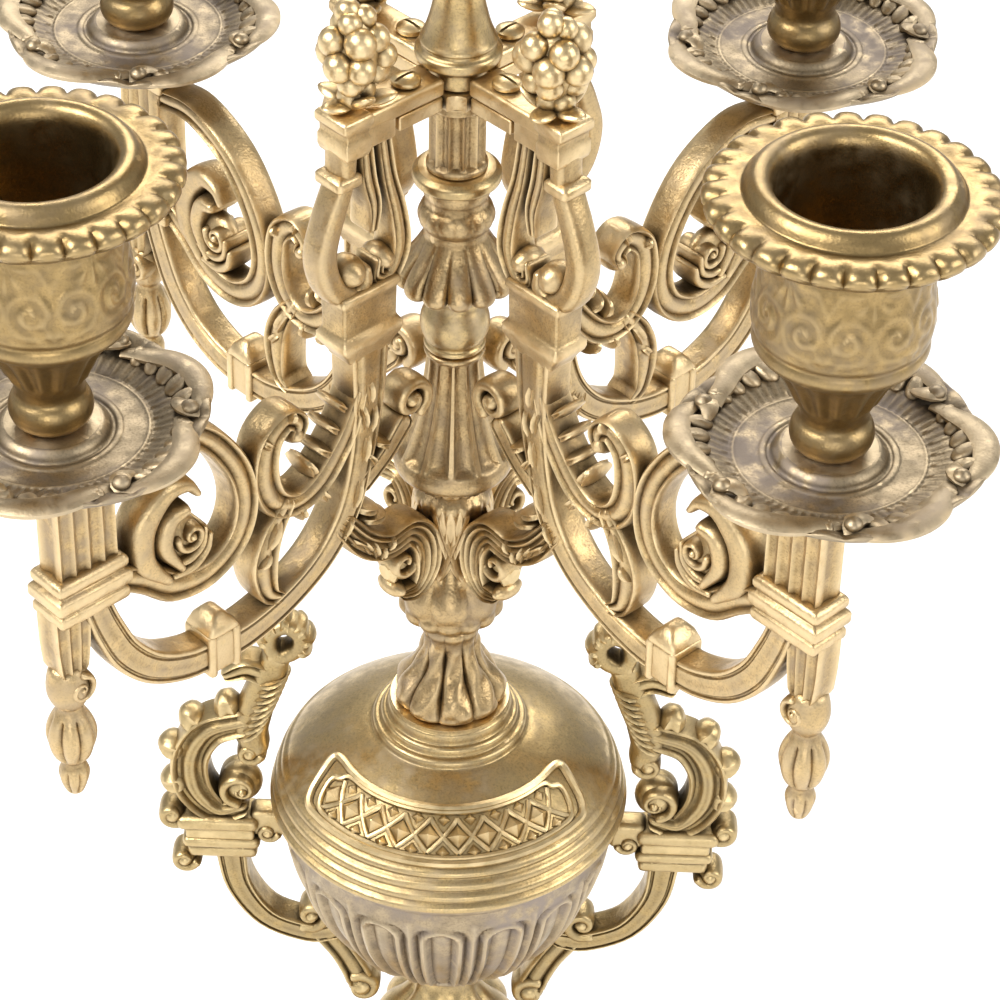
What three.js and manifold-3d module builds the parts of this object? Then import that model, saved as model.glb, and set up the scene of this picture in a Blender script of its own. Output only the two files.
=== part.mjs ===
// Five-light tabletop candelabra, cast and turned brass, in millimetres, +Z up.
// z = 0 is the underside of the foot and the column stands on the Z axis.
import * as THREE from 'three';
import { mergeVertices } from 'three/addons/utils/BufferGeometryUtils.js';
import Module from 'manifold-3d';

const wasm = await Module();
wasm.setup();

// ---- driving dimensions ----
const clear = 0.3; // gap left between pieces that rest on or pass through each other
const rodR = 2.0; // tie rod that holds the whole stack together
const studR = 2.0; // threaded stud under each outer candle cup
const candleR = 11.0; // candle bore of every cup
const socketDeep = 24.0; // depth of the candle bore
const reach = 78.5; // column axis to candle axis
const footR = 38.0;
const footHigh = 20.0;
const stemHigh = 38.4;
const urnR = 29.3; // bowl of the urn at its mouth
const bowlHigh = 36.2;
const coverHigh = 22.9;
const columnFootHigh = 16.3;
const knopHigh = 29.4;
const bellHigh = 27.0;
const ballHigh = 11.0;
const capHigh = 19.3;
const ringHigh = 2.7;
const shaftHigh = 12.3;
const hubHigh = 2.5;
const capitalHigh = 20.4;
const vaseHigh = 29.6;
const shaftR = 4.3;
const hubR = 6.4;
const armThick = 6.2; // across the flat of an arm casting
const strandThick = 5.0;
const panR = 24.0;
const cupHigh = 46.0;
const pinLong = 9.0; // stud standing above a pan's boss
const screwR = 1.25;
const screwHeadR = 2.3;

// ---- levels, each one stacked on the piece below ----
const stemZ = footHigh + clear;
const bowlZ = stemZ + stemHigh + clear;
const coverZ = bowlZ + bowlHigh + clear;
const columnFootZ = coverZ + coverHigh + clear;
const knopZ = columnFootZ + columnFootHigh + clear;
const bellZ = knopZ + knopHigh + clear;
const ballZ = bellZ + bellHigh + clear;
const capZ = ballZ + ballHigh + clear;
const ringZ = capZ + capHigh + clear;
const shaftZ = ringZ + ringHigh + clear;
const hubZ = shaftZ + shaftHigh + clear;
const capitalZ = hubZ + hubHigh + clear;
const vaseZ = capitalZ + capitalHigh + clear;
const vaseTop = vaseZ + vaseHigh;

const bore = rodR + clear; // hole for the tie rod
const studBore = studR + clear;
const screwBore = screwR + clear;

// ---- shared builders ----
function solid(geometry) {
  const g = geometry.clone();
  g.deleteAttribute('normal');
  g.deleteAttribute('uv');
  const m = mergeVertices(g, 1e-4);
  const p = m.attributes.position.array;
  const src = m.index.array;
  const t = [];
  let volume = 0;
  for (let i = 0; i < src.length; i += 3) {
    const [a, b, c] = [src[i], src[i + 1], src[i + 2]];
    if (a === b || b === c || a === c) continue;
    t.push(a, b, c);
    const A = new THREE.Vector3().fromArray(p, a * 3);
    const B = new THREE.Vector3().fromArray(p, b * 3);
    const C = new THREE.Vector3().fromArray(p, c * 3);
    volume += A.dot(B.cross(C));
  }
  if (volume < 0) for (let i = 0; i < t.length; i += 3) [t[i], t[i + 1]] = [t[i + 1], t[i]];
  const mesh = new wasm.Mesh({ numProp: 3, vertProperties: new Float32Array(p), triVerts: new Uint32Array(t) });
  return new wasm.Manifold(mesh);
}

function toGeometry(manifold) {
  const m = manifold.getMesh();
  const g = new THREE.BufferGeometry();
  g.setAttribute('position', new THREE.BufferAttribute(new Float32Array(m.vertProperties), 3));
  g.setIndex(new THREE.BufferAttribute(new Uint32Array(m.triVerts), 1));
  g.computeVertexNormals();
  return g;
}

const join = (list) => list.reduce((a, b) => a.add(b));

// a turned piece: pairs of radius and height, starting and ending on the axis
function turned(pairs, sides = 16) {
  const g = new THREE.LatheGeometry(pairs.map(([r, z]) => new THREE.Vector2(r, z)), sides);
  g.rotateX(Math.PI / 2);
  return g;
}

// a turned piece with a hole of radius r right through it
function ringTurned(r, pairs, sides = 16) {
  const z0 = pairs[0][1];
  const z1 = pairs[pairs.length - 1][1];
  return turned([[r, z0], ...pairs, [r, z1], [r, z0]], sides);
}

function rod(r, z0, z1, sides = 12) {
  const g = new THREE.CylinderGeometry(r, r, z1 - z0, sides);
  g.rotateX(Math.PI / 2);
  g.translate(0, 0, (z0 + z1) / 2);
  return g;
}

// a round bar lying along X
function barX(r, x0, x1, y, z, sides = 8) {
  const g = new THREE.CylinderGeometry(r, r, x1 - x0, sides);
  g.rotateZ(Math.PI / 2);
  g.translate((x0 + x1) / 2, y, z);
  return g;
}

// a disc with its axis along Y, for the eye of a scroll
function disc(r, thick, x, z, sides = 10) {
  const g = new THREE.CylinderGeometry(r, r, thick, sides);
  g.translate(x, 0, z);
  return g;
}

function block(x0, x1, thick, z0, z1) {
  const g = new THREE.BoxGeometry(x1 - x0, thick, z1 - z0);
  g.translate((x0 + x1) / 2, 0, (z0 + z1) / 2);
  return g;
}

// a flat cast strand in the XZ plane: points are [x, z, half width] along its middle
function strand(points, thick, steps = 12) {
  const mid = new THREE.CatmullRomCurve3(points.map(([x, z]) => new THREE.Vector3(x, z, 0)));
  const wide = new THREE.CatmullRomCurve3(points.map(([, , w], i) => new THREE.Vector3(i, w, 0)));
  const left = [];
  const right = [];
  for (let i = 0; i <= steps; i++) {
    const t = i / steps;
    const p = mid.getPoint(t);
    const d = mid.getTangent(t);
    const w = Math.max(wide.getPoint(t).y, 0.3);
    left.push(new THREE.Vector2(p.x - d.y * w, p.y + d.x * w));
    right.push(new THREE.Vector2(p.x + d.y * w, p.y - d.x * w));
  }
  const shape = new THREE.Shape([...left, ...right.reverse()]);
  const g = new THREE.ExtrudeGeometry(shape, { depth: thick, bevelEnabled: false });
  g.translate(0, 0, -thick / 2);
  g.rotateX(Math.PI / 2);
  return g;
}

// a screw along Z: domed head above, shank below the head's underside at z = 0
function screwShape(shankLong) {
  return turned([[0, -shankLong], [screwR, -shankLong], [screwR, 0], [screwHeadR, 0],
    [screwHeadR, 0.6], [screwHeadR * 0.6, 1.3], [0, 1.3]], 8);
}

const castBrass = { color: 0xb8924e, roughness: 0.36, metalness: 1.0 };
const turnedBrass = { color: 0xc09a50, roughness: 0.28, metalness: 1.0 };
const panBrass = { color: 0xb39a74, roughness: 0.42, metalness: 1.0 };
const steel = { color: 0x8a8a86, roughness: 0.4, metalness: 1.0 };

const candelabra = new THREE.Group();
candelabra.name = 'candelabra';

function place(parent, name, geometry, look) {
  const mesh = new THREE.Mesh(geometry, new THREE.MeshStandardMaterial(look));
  mesh.name = name;
  parent.add(mesh);
  return mesh;
}

// ---- foot, nut, washer and tie rod ----
const footWall = 3.2;
place(candelabra, 'foot', turned([[bore, footHigh], [bore, footHigh - 4.2], [footR * 0.30, footHigh - 5.2],
  [footR * 0.52, footHigh - 9.5], [footR * 0.78, footHigh * 0.30], [footR - footWall, 1.6], [footR - footWall, 0],
  [footR, 0], [footR, 2.4], [footR * 0.95, 4.2], [footR * 0.90, 4.8], [footR * 0.80, 9.0], [footR * 0.58, footHigh * 0.62],
  [footR * 0.40, footHigh * 0.78], [footR * 0.27, footHigh * 0.9], [footR * 0.27, footHigh], [bore, footHigh]], 24), castBrass);

const washerTop = footHigh - 5.2 - clear;
place(candelabra, 'base_washer', ringTurned(bore, [[footR * 0.22, washerTop - 1.2], [footR * 0.22, washerTop]], 20), steel);
const nutTop = washerTop - 1.2 - clear;
const nut = solid(rod(rodR * 2.0, nutTop - 3.4, nutTop, 6)).subtract(solid(rod(bore, nutTop - 5, nutTop + 1, 12)));
place(candelabra, 'base_nut', toGeometry(nut), steel);

// ---- cup and pan shapes, used at all five lights ----
const bossHigh = 6.7; // pan seat up to the underside of a cup
const seatGap = clear;
// heights below are measured from the pan's own seat
const panPairs = [[7.0, 0], [7.0, 3.2], [panR * 0.58, 3.4], [panR * 0.80, 4.8], [panR, 8.0],
  [panR * 0.98, 9.0], [panR * 0.76, 6.6], [panR * 0.60, 5.2], [8.8, 5.2], [8.2, bossHigh]];
const panShape = (hole) => ringTurned(hole, panPairs, 16);

// heights measured from the cup's underside
const boreTop = cupHigh;
const boreFloor = cupHigh - socketDeep;
const wall = 0.9;
const cupPairs = [[4.6, 0], [6.1, 2.8], [5.2, 6.2],
  [8.9, 12.5], [12.1, 18.0], [candleR + 2.0, 23.6], [candleR + 1.7, 28.0], [candleR + wall, 34.5],
  [candleR + 9.8, 41.0], [candleR + 9.8, 43.3], [candleR + 4.1, 43.6],
  [candleR + 2.3, boreTop], [candleR, boreTop - 2.4],
  [candleR, boreFloor], [0, boreFloor]];
const cupShape = (hole) => turned([[0, pinLong + 1.6], [hole, pinLong + 1.6], [hole, 0], ...cupPairs], 16);

// ---- stem and urn ----
place(candelabra, 'stem', ringTurned(bore, [[9.6, stemZ], [9.6, stemZ + 2.2], [5.4, stemZ + 5.6], [5.0, stemZ + 8.0],
  [9.6, stemZ + 12.5], [12.4, stemZ + 17.0], [12.6, stemZ + 20.0], [9.0, stemZ + 24.5], [5.6, stemZ + 28.5],
  [4.9, stemZ + 31.0], [6.0, stemZ + 33.0], [6.2, stemZ + 34.8], [5.2, stemZ + stemHigh]], 20), turnedBrass);

const bowlWall = 2.2;
const screwLevelHigh = bowlZ + bowlHigh * 0.80;
const screwLevelLow = bowlZ + bowlHigh * 0.22;
// outside radius of the bowl at a share of its height
const bowlOut = [[0.40, 0], [0.46, 0.05], [0.66, 0.20], [0.82, 0.40], [0.93, 0.62], [0.985, 0.82], [1.0, 1.0]];
const bowlRadius = (z) => {
  const s = (z - bowlZ) / bowlHigh;
  for (let i = 1; i < bowlOut.length; i++) {
    const [r0, s0] = bowlOut[i - 1];
    const [r1, s1] = bowlOut[i];
    if (s <= s1) return urnR * (r0 + (r1 - r0) * (s - s0) / (s1 - s0));
  }
  return urnR;
};
let bowl = solid(turned([[bore, bowlZ], ...bowlOut.map(([r, s]) => [urnR * r, bowlZ + bowlHigh * s]),
  [urnR - bowlWall, bowlZ + bowlHigh], [urnR * 0.90 - bowlWall, bowlZ + bowlHigh * 0.66],
  [urnR * 0.76 - bowlWall, bowlZ + bowlHigh * 0.42], [urnR * 0.50 - bowlWall, bowlZ + bowlHigh * 0.12],
  [bore, bowlZ + bowlHigh * 0.09], [bore, bowlZ]], 28));

// cast handle in the XZ plane, built for +X and turned round for the other side
const hx = (x) => x + (urnR - 29.3); // handle places follow the urn's mouth
const hz = (z) => bowlZ + (z - 59.0) * (bowlHigh / 36.2); // and the bowl's height
const padX = bowlRadius(screwLevelHigh) + clear;
const footX = bowlRadius(screwLevelLow) + clear;
function handleSolid() {
  const parts = [
    // lower arm from the shelf down to the bowl
    strand([[hx(38.2), hz(78.5), 2.6], [hx(36.6), hz(70.5), 2.3], [hx(31.5), hz(63.2), 2.2], [footX + 2.6, screwLevelLow - 0.6, 2.6]], strandThick, 6),
    disc(2.9, strandThick, hx(25.6), hz(66.3)),
    block(footX + 0.9, footX + 4.6, strandThick, screwLevelLow - 2.6, screwLevelLow + 2.6),
    // leaf curls and end volute that hang below the bowl
    strand([[footX + 3.2, screwLevelLow - 1.6, 2.0], [hx(18.6), hz(55.6), 1.8], [hx(15.2), hz(50.6), 2.0]], strandThick, 4),
    disc(3.4, strandThick, hx(15.4), hz(47.4)),
    // moulded shelf
    block(hx(35.0), hx(48.6), strandThick, hz(76.2), hz(79.4)),
    block(hx(33.6), hx(50.2), strandThick, hz(79.2), hz(82.4)),
    block(padX + 0.6, hx(50.6), strandThick, hz(82.2), hz(86.0)),
    disc(3.2, strandThick, hx(50.4), hz(86.6)),
    disc(3.0, strandThick, hx(34.6), hz(86.0)),
    disc(2.6, strandThick, hx(47.3), hz(75.2)),
    // C scroll, its eye and the beads on its back
    strand([[hx(38.6), hz(89.6), 1.8], [hx(43.0), hz(87.0), 2.6], [hx(46.8), hz(95.0), 2.9], [hx(46.2), hz(103.6), 2.8], [hx(42.0), hz(109.8), 2.6], [hx(36.6), hz(111.6), 2.6]], strandThick, 10),
    disc(3.9, strandThick, hx(37.6), hz(94.0)),
    disc(2.1, strandThick, hx(49.4), hz(98.6), 8),
    disc(2.1, strandThick, hx(48.2), hz(106.6), 8),
    disc(2.1, strandThick, hx(43.6), hz(112.2), 8),
    // ribbed neck with its curled top
    strand([[hx(35.2), hz(105.6), 2.9], [hx(34.8), hz(110.6), 3.2], [hx(33.4), hz(116.6), 2.9], [hx(31.2), hz(121.6), 2.7], [hx(29.6), hz(126.4), 2.6]], strandThick, 5),
    disc(3.3, strandThick, hx(28.4), hz(128.0)),
    strand([[hx(31.2), hz(121.4), 2.2], [hx(35.0), hz(122.4), 1.9], [hx(38.6), hz(120.6), 1.6]], strandThick, 4),
  ];
  let h = join(parts.map(solid));
  // the bowl's own round, plus clearance, is cut from the pads
  const round = solid(turned([[0, bowlZ], ...bowlOut.map(([r, s]) => [urnR * r + clear, bowlZ + bowlHigh * s]), [0, bowlZ + bowlHigh]], 28));
  h = h.subtract(round);
  h = h.subtract(solid(barX(screwBore, 0, padX + 6.6, 0, screwLevelHigh)));
  h = h.subtract(solid(barX(screwBore, 0, footX + 6.4, 0, screwLevelLow)));
  return h;
}
bowl = bowl.subtract(solid(barX(screwBore, -urnR * 1.2, urnR * 1.2, 0, screwLevelHigh)));
bowl = bowl.subtract(solid(barX(screwBore, -urnR * 1.2, urnR * 1.2, 0, screwLevelLow)));
place(candelabra, 'urn_bowl', toGeometry(bowl), castBrass);

const lipR = urnR + 2.0;
const coverWall = 2.4;
place(candelabra, 'urn_cover', turned([[bore, coverZ + coverHigh], [bore, coverZ + coverHigh - 4.6],
  [lipR * 0.44, coverZ + coverHigh - 8.8], [lipR * 0.66 - coverWall, coverZ + 12.0], [lipR * 0.86 - coverWall, coverZ + 7.6],
  [lipR * 0.97 - coverWall, coverZ + 2.4], [lipR * 0.97 - coverWall, coverZ], [lipR * 0.985, coverZ], [lipR, coverZ + 1.4],
  [lipR * 0.975, coverZ + 3.2], [lipR * 0.955, coverZ + 5.2], [lipR * 0.92, coverZ + 7.4], [lipR * 0.84, coverZ + 10.4],
  [lipR * 0.72, coverZ + 13.4], [lipR * 0.58, coverZ + 15.6], [lipR * 0.45, coverZ + 16.6], [lipR * 0.445, coverZ + 18.6],
  [lipR * 0.40, coverZ + 19.8], [lipR * 0.36, coverZ + 20.2], [lipR * 0.355, coverZ + coverHigh], [bore, coverZ + coverHigh]], 28), turnedBrass);

for (const [side, turn] of [['right', 0], ['left', Math.PI]]) {
  const g = new THREE.Group();
  g.rotation.z = turn;
  candelabra.add(g);
  place(g, `handle_${side}`, toGeometry(handleSolid()), castBrass);
  // screws put in from inside the bowl, heads against its inner wall
  for (const [where, z, long, head] of [['upper', screwLevelHigh, 9.4, bowlRadius(screwLevelHigh) - bowlWall * 2.0],
    ['lower', screwLevelLow, 8.6, bowlRadius(screwLevelLow) - bowlWall * 3.2]]) {
    const s = place(g, `handle_screw_${side}_${where}`, screwShape(long), steel);
    s.rotation.y = -Math.PI / 2;
    s.position.set(head - clear, 0, z);
  }
}

// ---- stacked column ----
place(candelabra, 'column_foot', ringTurned(bore, [[9.0, columnFootZ], [9.3, columnFootZ + 1.6], [8.6, columnFootZ + 4.0],
  [6.2, columnFootZ + 7.6], [4.7, columnFootZ + 10.4], [4.4, columnFootZ + 13.0], [4.6, columnFootZ + columnFootHigh]], 16), castBrass);

const kneeLevel = knopZ + knopHigh * 0.61; // where the arms' lower brackets meet the column
const knopWaist = 5.2;
let knop = solid(ringTurned(bore, [[4.9, knopZ], [7.6, knopZ + 3.0], [9.2, knopZ + 5.8], [9.0, knopZ + 8.2],
  [6.6, knopZ + knopHigh * 0.42], [knopWaist, knopZ + knopHigh * 0.52], [knopWaist, knopZ + knopHigh * 0.72], [5.4, knopZ + knopHigh * 0.9],
  [4.9, knopZ + knopHigh]], 20));

place(candelabra, 'bell_baluster', ringTurned(bore, [[5.0, bellZ], [8.2, bellZ + 3.0], [9.9, bellZ + 5.6], [9.6, bellZ + 8.0],
  [7.4, bellZ + 11.0], [5.7, bellZ + 15.0], [4.5, bellZ + 20.5], [4.2, bellZ + bellHigh]], 16), castBrass);
place(candelabra, 'neck_ball', ringTurned(bore, [[4.1, ballZ], [5.2, ballZ + 2.2], [5.4, ballZ + 5.2], [4.3, ballZ + 8.2],
  [4.4, ballZ + ballHigh]], 16), turnedBrass);
place(candelabra, 'gadrooned_cap', ringTurned(bore, [[4.6, capZ], [8.0, capZ + 0.8], [9.4, capZ + 2.4], [8.9, capZ + 4.2],
  [7.0, capZ + 7.0], [5.0, capZ + 10.2], [4.7, capZ + 11.4], [5.7, capZ + 12.2], [5.7, capZ + 15.0], [4.9, capZ + 16.0],
  [5.2, capZ + capHigh]], 16), castBrass);
place(candelabra, 'flange_ring', ringTurned(bore, [[5.4, ringZ], [6.8, ringZ + 0.9], [6.8, ringZ + 1.9], [6.0, ringZ + ringHigh]], 16), turnedBrass);

// shaft with real flutes
let shaft = solid(ringTurned(bore, [[shaftR, shaftZ], [shaftR, shaftZ + shaftHigh]], 20));
const flute = [];
for (let i = 0; i < 10; i++) {
  const a = (i + 0.5) / 10 * Math.PI * 2;
  const f = rod(0.55, shaftZ - 1, shaftZ + shaftHigh + 1, 6);
  f.translate(Math.cos(a) * shaftR * 1.06, Math.sin(a) * shaftR * 1.06, 0);
  flute.push(f);
}
shaft = shaft.subtract(join(flute.map(solid)));
place(candelabra, 'fluted_shaft', toGeometry(shaft), castBrass);

const capitalRing = capitalZ + 4.0; // stays above the beams
place(candelabra, 'capital', ringTurned(bore, [[shaftR, capitalZ], [shaftR, capitalRing - 0.4], [6.5, capitalRing], [6.5, capitalRing + 2.0],
  [5.4, capitalRing + 3.4], [4.2, capitalRing + 7.4], [3.6, capitalRing + 12.0], [4.6, capitalZ + capitalHigh]], 16), turnedBrass);
place(candelabra, 'vase_baluster', ringTurned(bore, [[4.8, vaseZ], [6.0, vaseZ + 1.2], [4.2, vaseZ + 3.0], [6.4, vaseZ + 8.0], [7.6, vaseZ + 12.0],
  [6.4, vaseZ + 17.0], [4.0, vaseZ + 21.6], [4.4, vaseZ + 23.6], [7.4, vaseZ + 26.8], [7.6, vaseTop]], 16), turnedBrass);

// ---- arms: flat castings at the four corners ----
// the arm's own drawing is laid between the knop and the hub, and stretched to the reach
const drawReach = 78.5;
const drawKnee = 153.0;
const drawBeam = 241.8;
const kx = (reach - hubR) / (drawReach - hubR);
const kz = (capitalZ - kneeLevel) / (drawBeam - drawKnee);
const ax = (x) => hubR + (x - hubR) * kx;
const az = (z) => kneeLevel + (z - drawKnee) * kz;
const lugEnd = 14.0;
const beamLow = az(238.6);
const beamTop = az(245.0);
const beamEnd = ax(25.4);
const postTop = az(209.7);
const postIn = reach - 8.8;
const postOut = reach + 2.9;
const collarLow = az(180.4);
const collarHigh = 8.6;
const pendantX = reach + 0.7;
const panSeat = postTop + seatGap;
const cupSeat = panSeat + bossHigh + seatGap;
const lapScrewX = (hubR + lugEnd) / 2 + 0.4;
const grapeX = ax(20.6);
const kneeFace = ax(13.4);
const kneeScrewLong = kneeFace - bore - 2.6;

function armSolid() {
  const pts = (list) => list.map(([x, z, w]) => [ax(x), az(z), w]);
  const parts = [
    // top beam, lapped over the hub's lug
    block(hubR - 0.9, beamEnd, armThick, beamLow + 0.2, beamTop),
    block(beamEnd - 5.6, beamEnd + 0.7, armThick + 0.9, beamTop - 2.0, beamTop + 0.5),
    // lyre under the beam: outer strand with its little neck ring, and inner strand
    strand(pts([[25.0, 240.5, 2.1], [25.2, 234.0, 1.9], [27.6, 227.5, 2.1], [29.2, 221.5, 2.3], [27.0, 215.2, 2.3], [22.6, 212.4, 2.0]]), strandThick, 6),
    block(ax(25.2) - 2.9, ax(25.2) + 2.9, strandThick + 0.8, az(233.2), az(235.6)),
    strand(pts([[16.4, 240.5, 1.9], [15.0, 232.0, 1.8], [12.6, 224.0, 1.9], [12.0, 217.6, 1.9], [15.4, 213.6, 1.8]]), strandThick, 5),
    disc(2.9, strandThick, ax(22.6), az(216.6), 8),
    disc(2.7, strandThick, ax(15.4), az(216.6), 8),
    // block and its stepped base
    block(ax(14.4), ax(26.2), armThick - 0.4, az(205.0), az(213.6)),
    block(ax(13.4), ax(27.0), armThick + 0.8, az(202.6), az(205.4)),
    block(ax(14.6), ax(25.6), armThick, az(200.9), az(202.9)),
    // stem, knee and bow out to the post
    strand(pts([[20.0, 202.0, 4.2], [20.6, 192.0, 3.4], [22.0, 182.0, 2.9], [24.4, 173.0, 2.8], [29.4, 166.0, 2.8], [37.0, 161.2, 2.8], [45.0, 158.8, 2.8], [52.0, 158.6, 2.9]]), strandThick, 8),
    strand(pts([[50.0, 158.6, 2.9], [57.0, 159.2, 3.0], [64.0, 162.4, 3.1], [69.0, 168.0, 3.1], [72.0, 174.6, 3.0], [75.0, 180.0, 2.8]]), strandThick, 5),
    // knuckle
    block(ax(51.0) - 3.4, ax(51.0) + 3.4, strandThick + 1.8, az(154.2), az(164.2)),
    block(ax(51.0) - 2.2, ax(51.0) + 2.6, strandThick + 1.0, az(163.8), az(166.2)),
    // collar of three bands, the middle one fullest
    block(postIn - 0.8, postOut + 0.6, armThick + 0.4, collarLow, collarLow + 2.9),
    block(postIn - 1.2, postOut + 1.2, armThick + 1.4, collarLow + 2.7, collarLow + 6.0),
    block(postIn - 0.8, postOut + 0.6, armThick + 0.4, collarLow + 5.8, collarLow + collarHigh),
    // post under the pan
    block(postIn, postOut, armThick - 0.6, collarLow + collarHigh - 0.2, postTop - 1.6),
    block(postIn - 0.8, postOut + 0.6, armThick + 0.4, postTop - 1.8, postTop),
    // narrower lower post
    block(pendantX - 3.4, pendantX + 3.0, armThick - 0.8, collarLow - 10.2, collarLow + 0.2),
    // large C scroll between the post and its leafy eye
    strand(pts([[70.4, 205.8, 2.2], [62.0, 206.2, 2.2], [53.0, 201.2, 2.3], [47.2, 193.4, 2.5], [45.2, 185.6, 2.7], [47.2, 179.4, 3.0], [52.6, 176.0, 3.2], [59.0, 176.6, 3.4], [64.4, 180.4, 3.2], [69.6, 182.6, 2.6]]), strandThick, 12),
    disc(6.4, strandThick, ax(56.0), az(184.2), 12),
    // S scroll with its hooked tip, and the leaf that springs from the stem
    strand(pts([[33.6, 192.8, 1.7], [34.4, 195.2, 1.9], [37.6, 196.0, 2.1], [41.0, 192.6, 2.4], [41.4, 186.6, 2.5], [39.2, 181.6, 2.4], [34.8, 179.4, 2.4], [29.6, 181.4, 2.9], [24.4, 187.8, 2.2], [21.8, 194.6, 1.4]]), strandThick, 11),
    disc(2.1, strandThick, ax(33.8), az(192.6), 8),
    disc(2.7, strandThick, ax(28.6), az(185.4), 8),
    strand(pts([[37.0, 180.0, 1.8], [40.4, 175.4, 2.8], [42.0, 169.6, 2.9], [40.2, 162.2, 1.8]]), strandThick, 4),
    // upper and lower brackets towards the column
    strand(pts([[21.2, 176.6, 2.0], [16.2, 180.2, 1.8], [13.4, 184.2, 1.6]]), strandThick, 3),
    disc(4.4, strandThick, ax(10.9), az(187.2), 10),
    strand(pts([[25.6, 169.6, 2.6], [20.6, 163.2, 2.6], [15.4, 159.4, 2.5], [11.4, 156.6, 2.6]]), strandThick, 3),
    disc(2.3, strandThick, ax(17.6), az(158.0), 8),
    strand(pts([[12.4, 160.0, 2.0], [9.0, 159.2, 2.5], [7.2, 154.0, 3.0], [8.4, 149.2, 2.6], [12.2, 149.4, 1.6]]), strandThick, 5),
    disc(3.8, strandThick, ax(9.8), az(154.2), 10),
  ];
  let a = join(parts.map(solid));
  const pendant = turned([[0, collarLow - 35.6], [1.4, collarLow - 35.4], [2.4, collarLow - 31.6],
    [2.0, collarLow - 28.6], [4.1, collarLow - 23.2], [2.2, collarLow - 17.6],
    [3.4, collarLow - 13.6], [2.8, collarLow - 9.8], [0, collarLow - 9.6]], 8);
  pendant.translate(pendantX, 0, 0);
  a = a.add(solid(pendant));
  // clear the column all the way up: the waist of the knop, then hub, lug and shaft
  const column = solid(turned([[0, knopZ - 5], [9.2 + clear, knopZ - 5], [9.2 + clear, knopZ + 8.6], [knopWaist + clear, kneeLevel - 3.4],
    [knopWaist + clear, knopZ + knopHigh * 0.9], [shaftR + clear, bellZ + bellHigh], [shaftR + clear, beamTop + 1], [0, beamTop + 1]], 20));
  a = a.subtract(column);
  a = a.subtract(solid(block(0, lugEnd + clear, armThick * 3, beamLow - 4, capitalZ)));
  // flat face where the knee screw's head bears, and the bores
  a = a.subtract(solid(barX(screwBore, 0, ax(40), 0, kneeLevel, 8)));
  a = a.subtract(solid(barX(screwHeadR + clear, kneeFace, ax(30), 0, kneeLevel, 8)));
  const lapHole = rod(screwBore, beamLow - 6, beamTop + 6, 8);
  lapHole.translate(lapScrewX, 0, 0);
  a = a.subtract(solid(lapHole));
  const grapeHole = rod(screwBore, beamTop - 3.4, beamTop + 6, 8);
  grapeHole.translate(grapeX, 0, 0);
  a = a.subtract(solid(grapeHole));
  const studHole = rod(studBore, postTop - 11.0, postTop + 1);
  studHole.translate(reach, 0, 0);
  return a.subtract(solid(studHole));
}
const arm = toGeometry(armSolid());

// bunch of berries standing on a leaf, with a peg into the beam
function grapeSolid() {
  const low = beamTop + 0.5 + clear;
  const body = turned([[0, low], [3.2, low], [4.4, low + 2.0], [5.0, low + 6.0], [4.2, low + 11.0], [2.4, low + 15.4], [0, low + 17.4]], 8);
  const parts = [body, rod(screwR, beamTop - 3.0, low + 2.0, 12)];
  const berry = (angle, r, z, size) => {
    const g = new THREE.SphereGeometry(size, 6, 4);
    g.rotateX(Math.PI / 2);
    g.translate(Math.cos(angle) * r, Math.sin(angle) * r, low + z);
    parts.push(g);
  };
  for (let i = 0; i < 4; i++) berry(i * Math.PI / 2 + Math.PI / 4, 3.9, 4.4, 2.3);
  for (let i = 0; i < 2; i++) berry(i * Math.PI, 3.4, 9.4, 2.2);
  const m = join(parts.map(solid));
  return m;
}
const grape = toGeometry(grapeSolid());

const corners = [['front_left', 225], ['front_right', 315], ['back_right', 45], ['back_left', 135]];

// hub clamped in the stack, with a lug under each beam
let hub = solid(ringTurned(bore, [[hubR, hubZ], [hubR, hubZ + hubHigh]], 24));
for (const [, deg] of corners) {
  const lug = block(shaftR - 0.5, lugEnd, armThick * 0.8, hubZ, hubZ + hubHigh);
  const hole = rod(screwBore, hubZ - 1, hubZ + hubHigh + 1, 8);
  hole.translate(lapScrewX, 0, 0);
  for (const g of [lug, hole]) g.rotateZ(THREE.MathUtils.degToRad(deg));
  hub = hub.add(solid(lug)).subtract(solid(hole));
  const kneeHole = barX(screwBore, bore + 0.7, 12, 0, kneeLevel, 8);
  kneeHole.rotateZ(THREE.MathUtils.degToRad(deg));
  knop = knop.subtract(solid(kneeHole));
}
hub = hub.subtract(solid(rod(bore, hubZ - 1, hubZ + hubHigh + 1, 24)));
place(candelabra, 'arm_hub', toGeometry(hub), castBrass);
place(candelabra, 'leaf_knop', toGeometry(knop), castBrass);

for (const [where, deg] of corners) {
  const g = new THREE.Group();
  g.rotation.z = THREE.MathUtils.degToRad(deg);
  candelabra.add(g);
  place(g, `arm_${where}`, arm, castBrass);
  const berries = place(g, `grapes_${where}`, grape, castBrass);
  berries.position.x = grapeX;
  const lap = place(g, `lap_screw_${where}`, screwShape(beamTop - hubZ + 0.4), turnedBrass);
  lap.position.set(lapScrewX, 0, beamTop + clear);
  const knee = place(g, `knee_screw_${where}`, screwShape(kneeScrewLong), turnedBrass);
  knee.rotation.y = Math.PI / 2;
  knee.position.set(kneeFace + clear, 0, kneeLevel);
  const stud = place(g, `stud_${where}`, rod(studR, postTop - 10.6, cupSeat + pinLong), steel);
  stud.position.set(reach, 0, 0);
  const pan = place(g, `pan_${where}`, panShape(studBore), panBrass);
  pan.position.set(reach, 0, panSeat);
  const cup = place(g, `cup_${where}`, cupShape(studBore), turnedBrass);
  cup.position.set(reach, 0, cupSeat);
}

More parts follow.
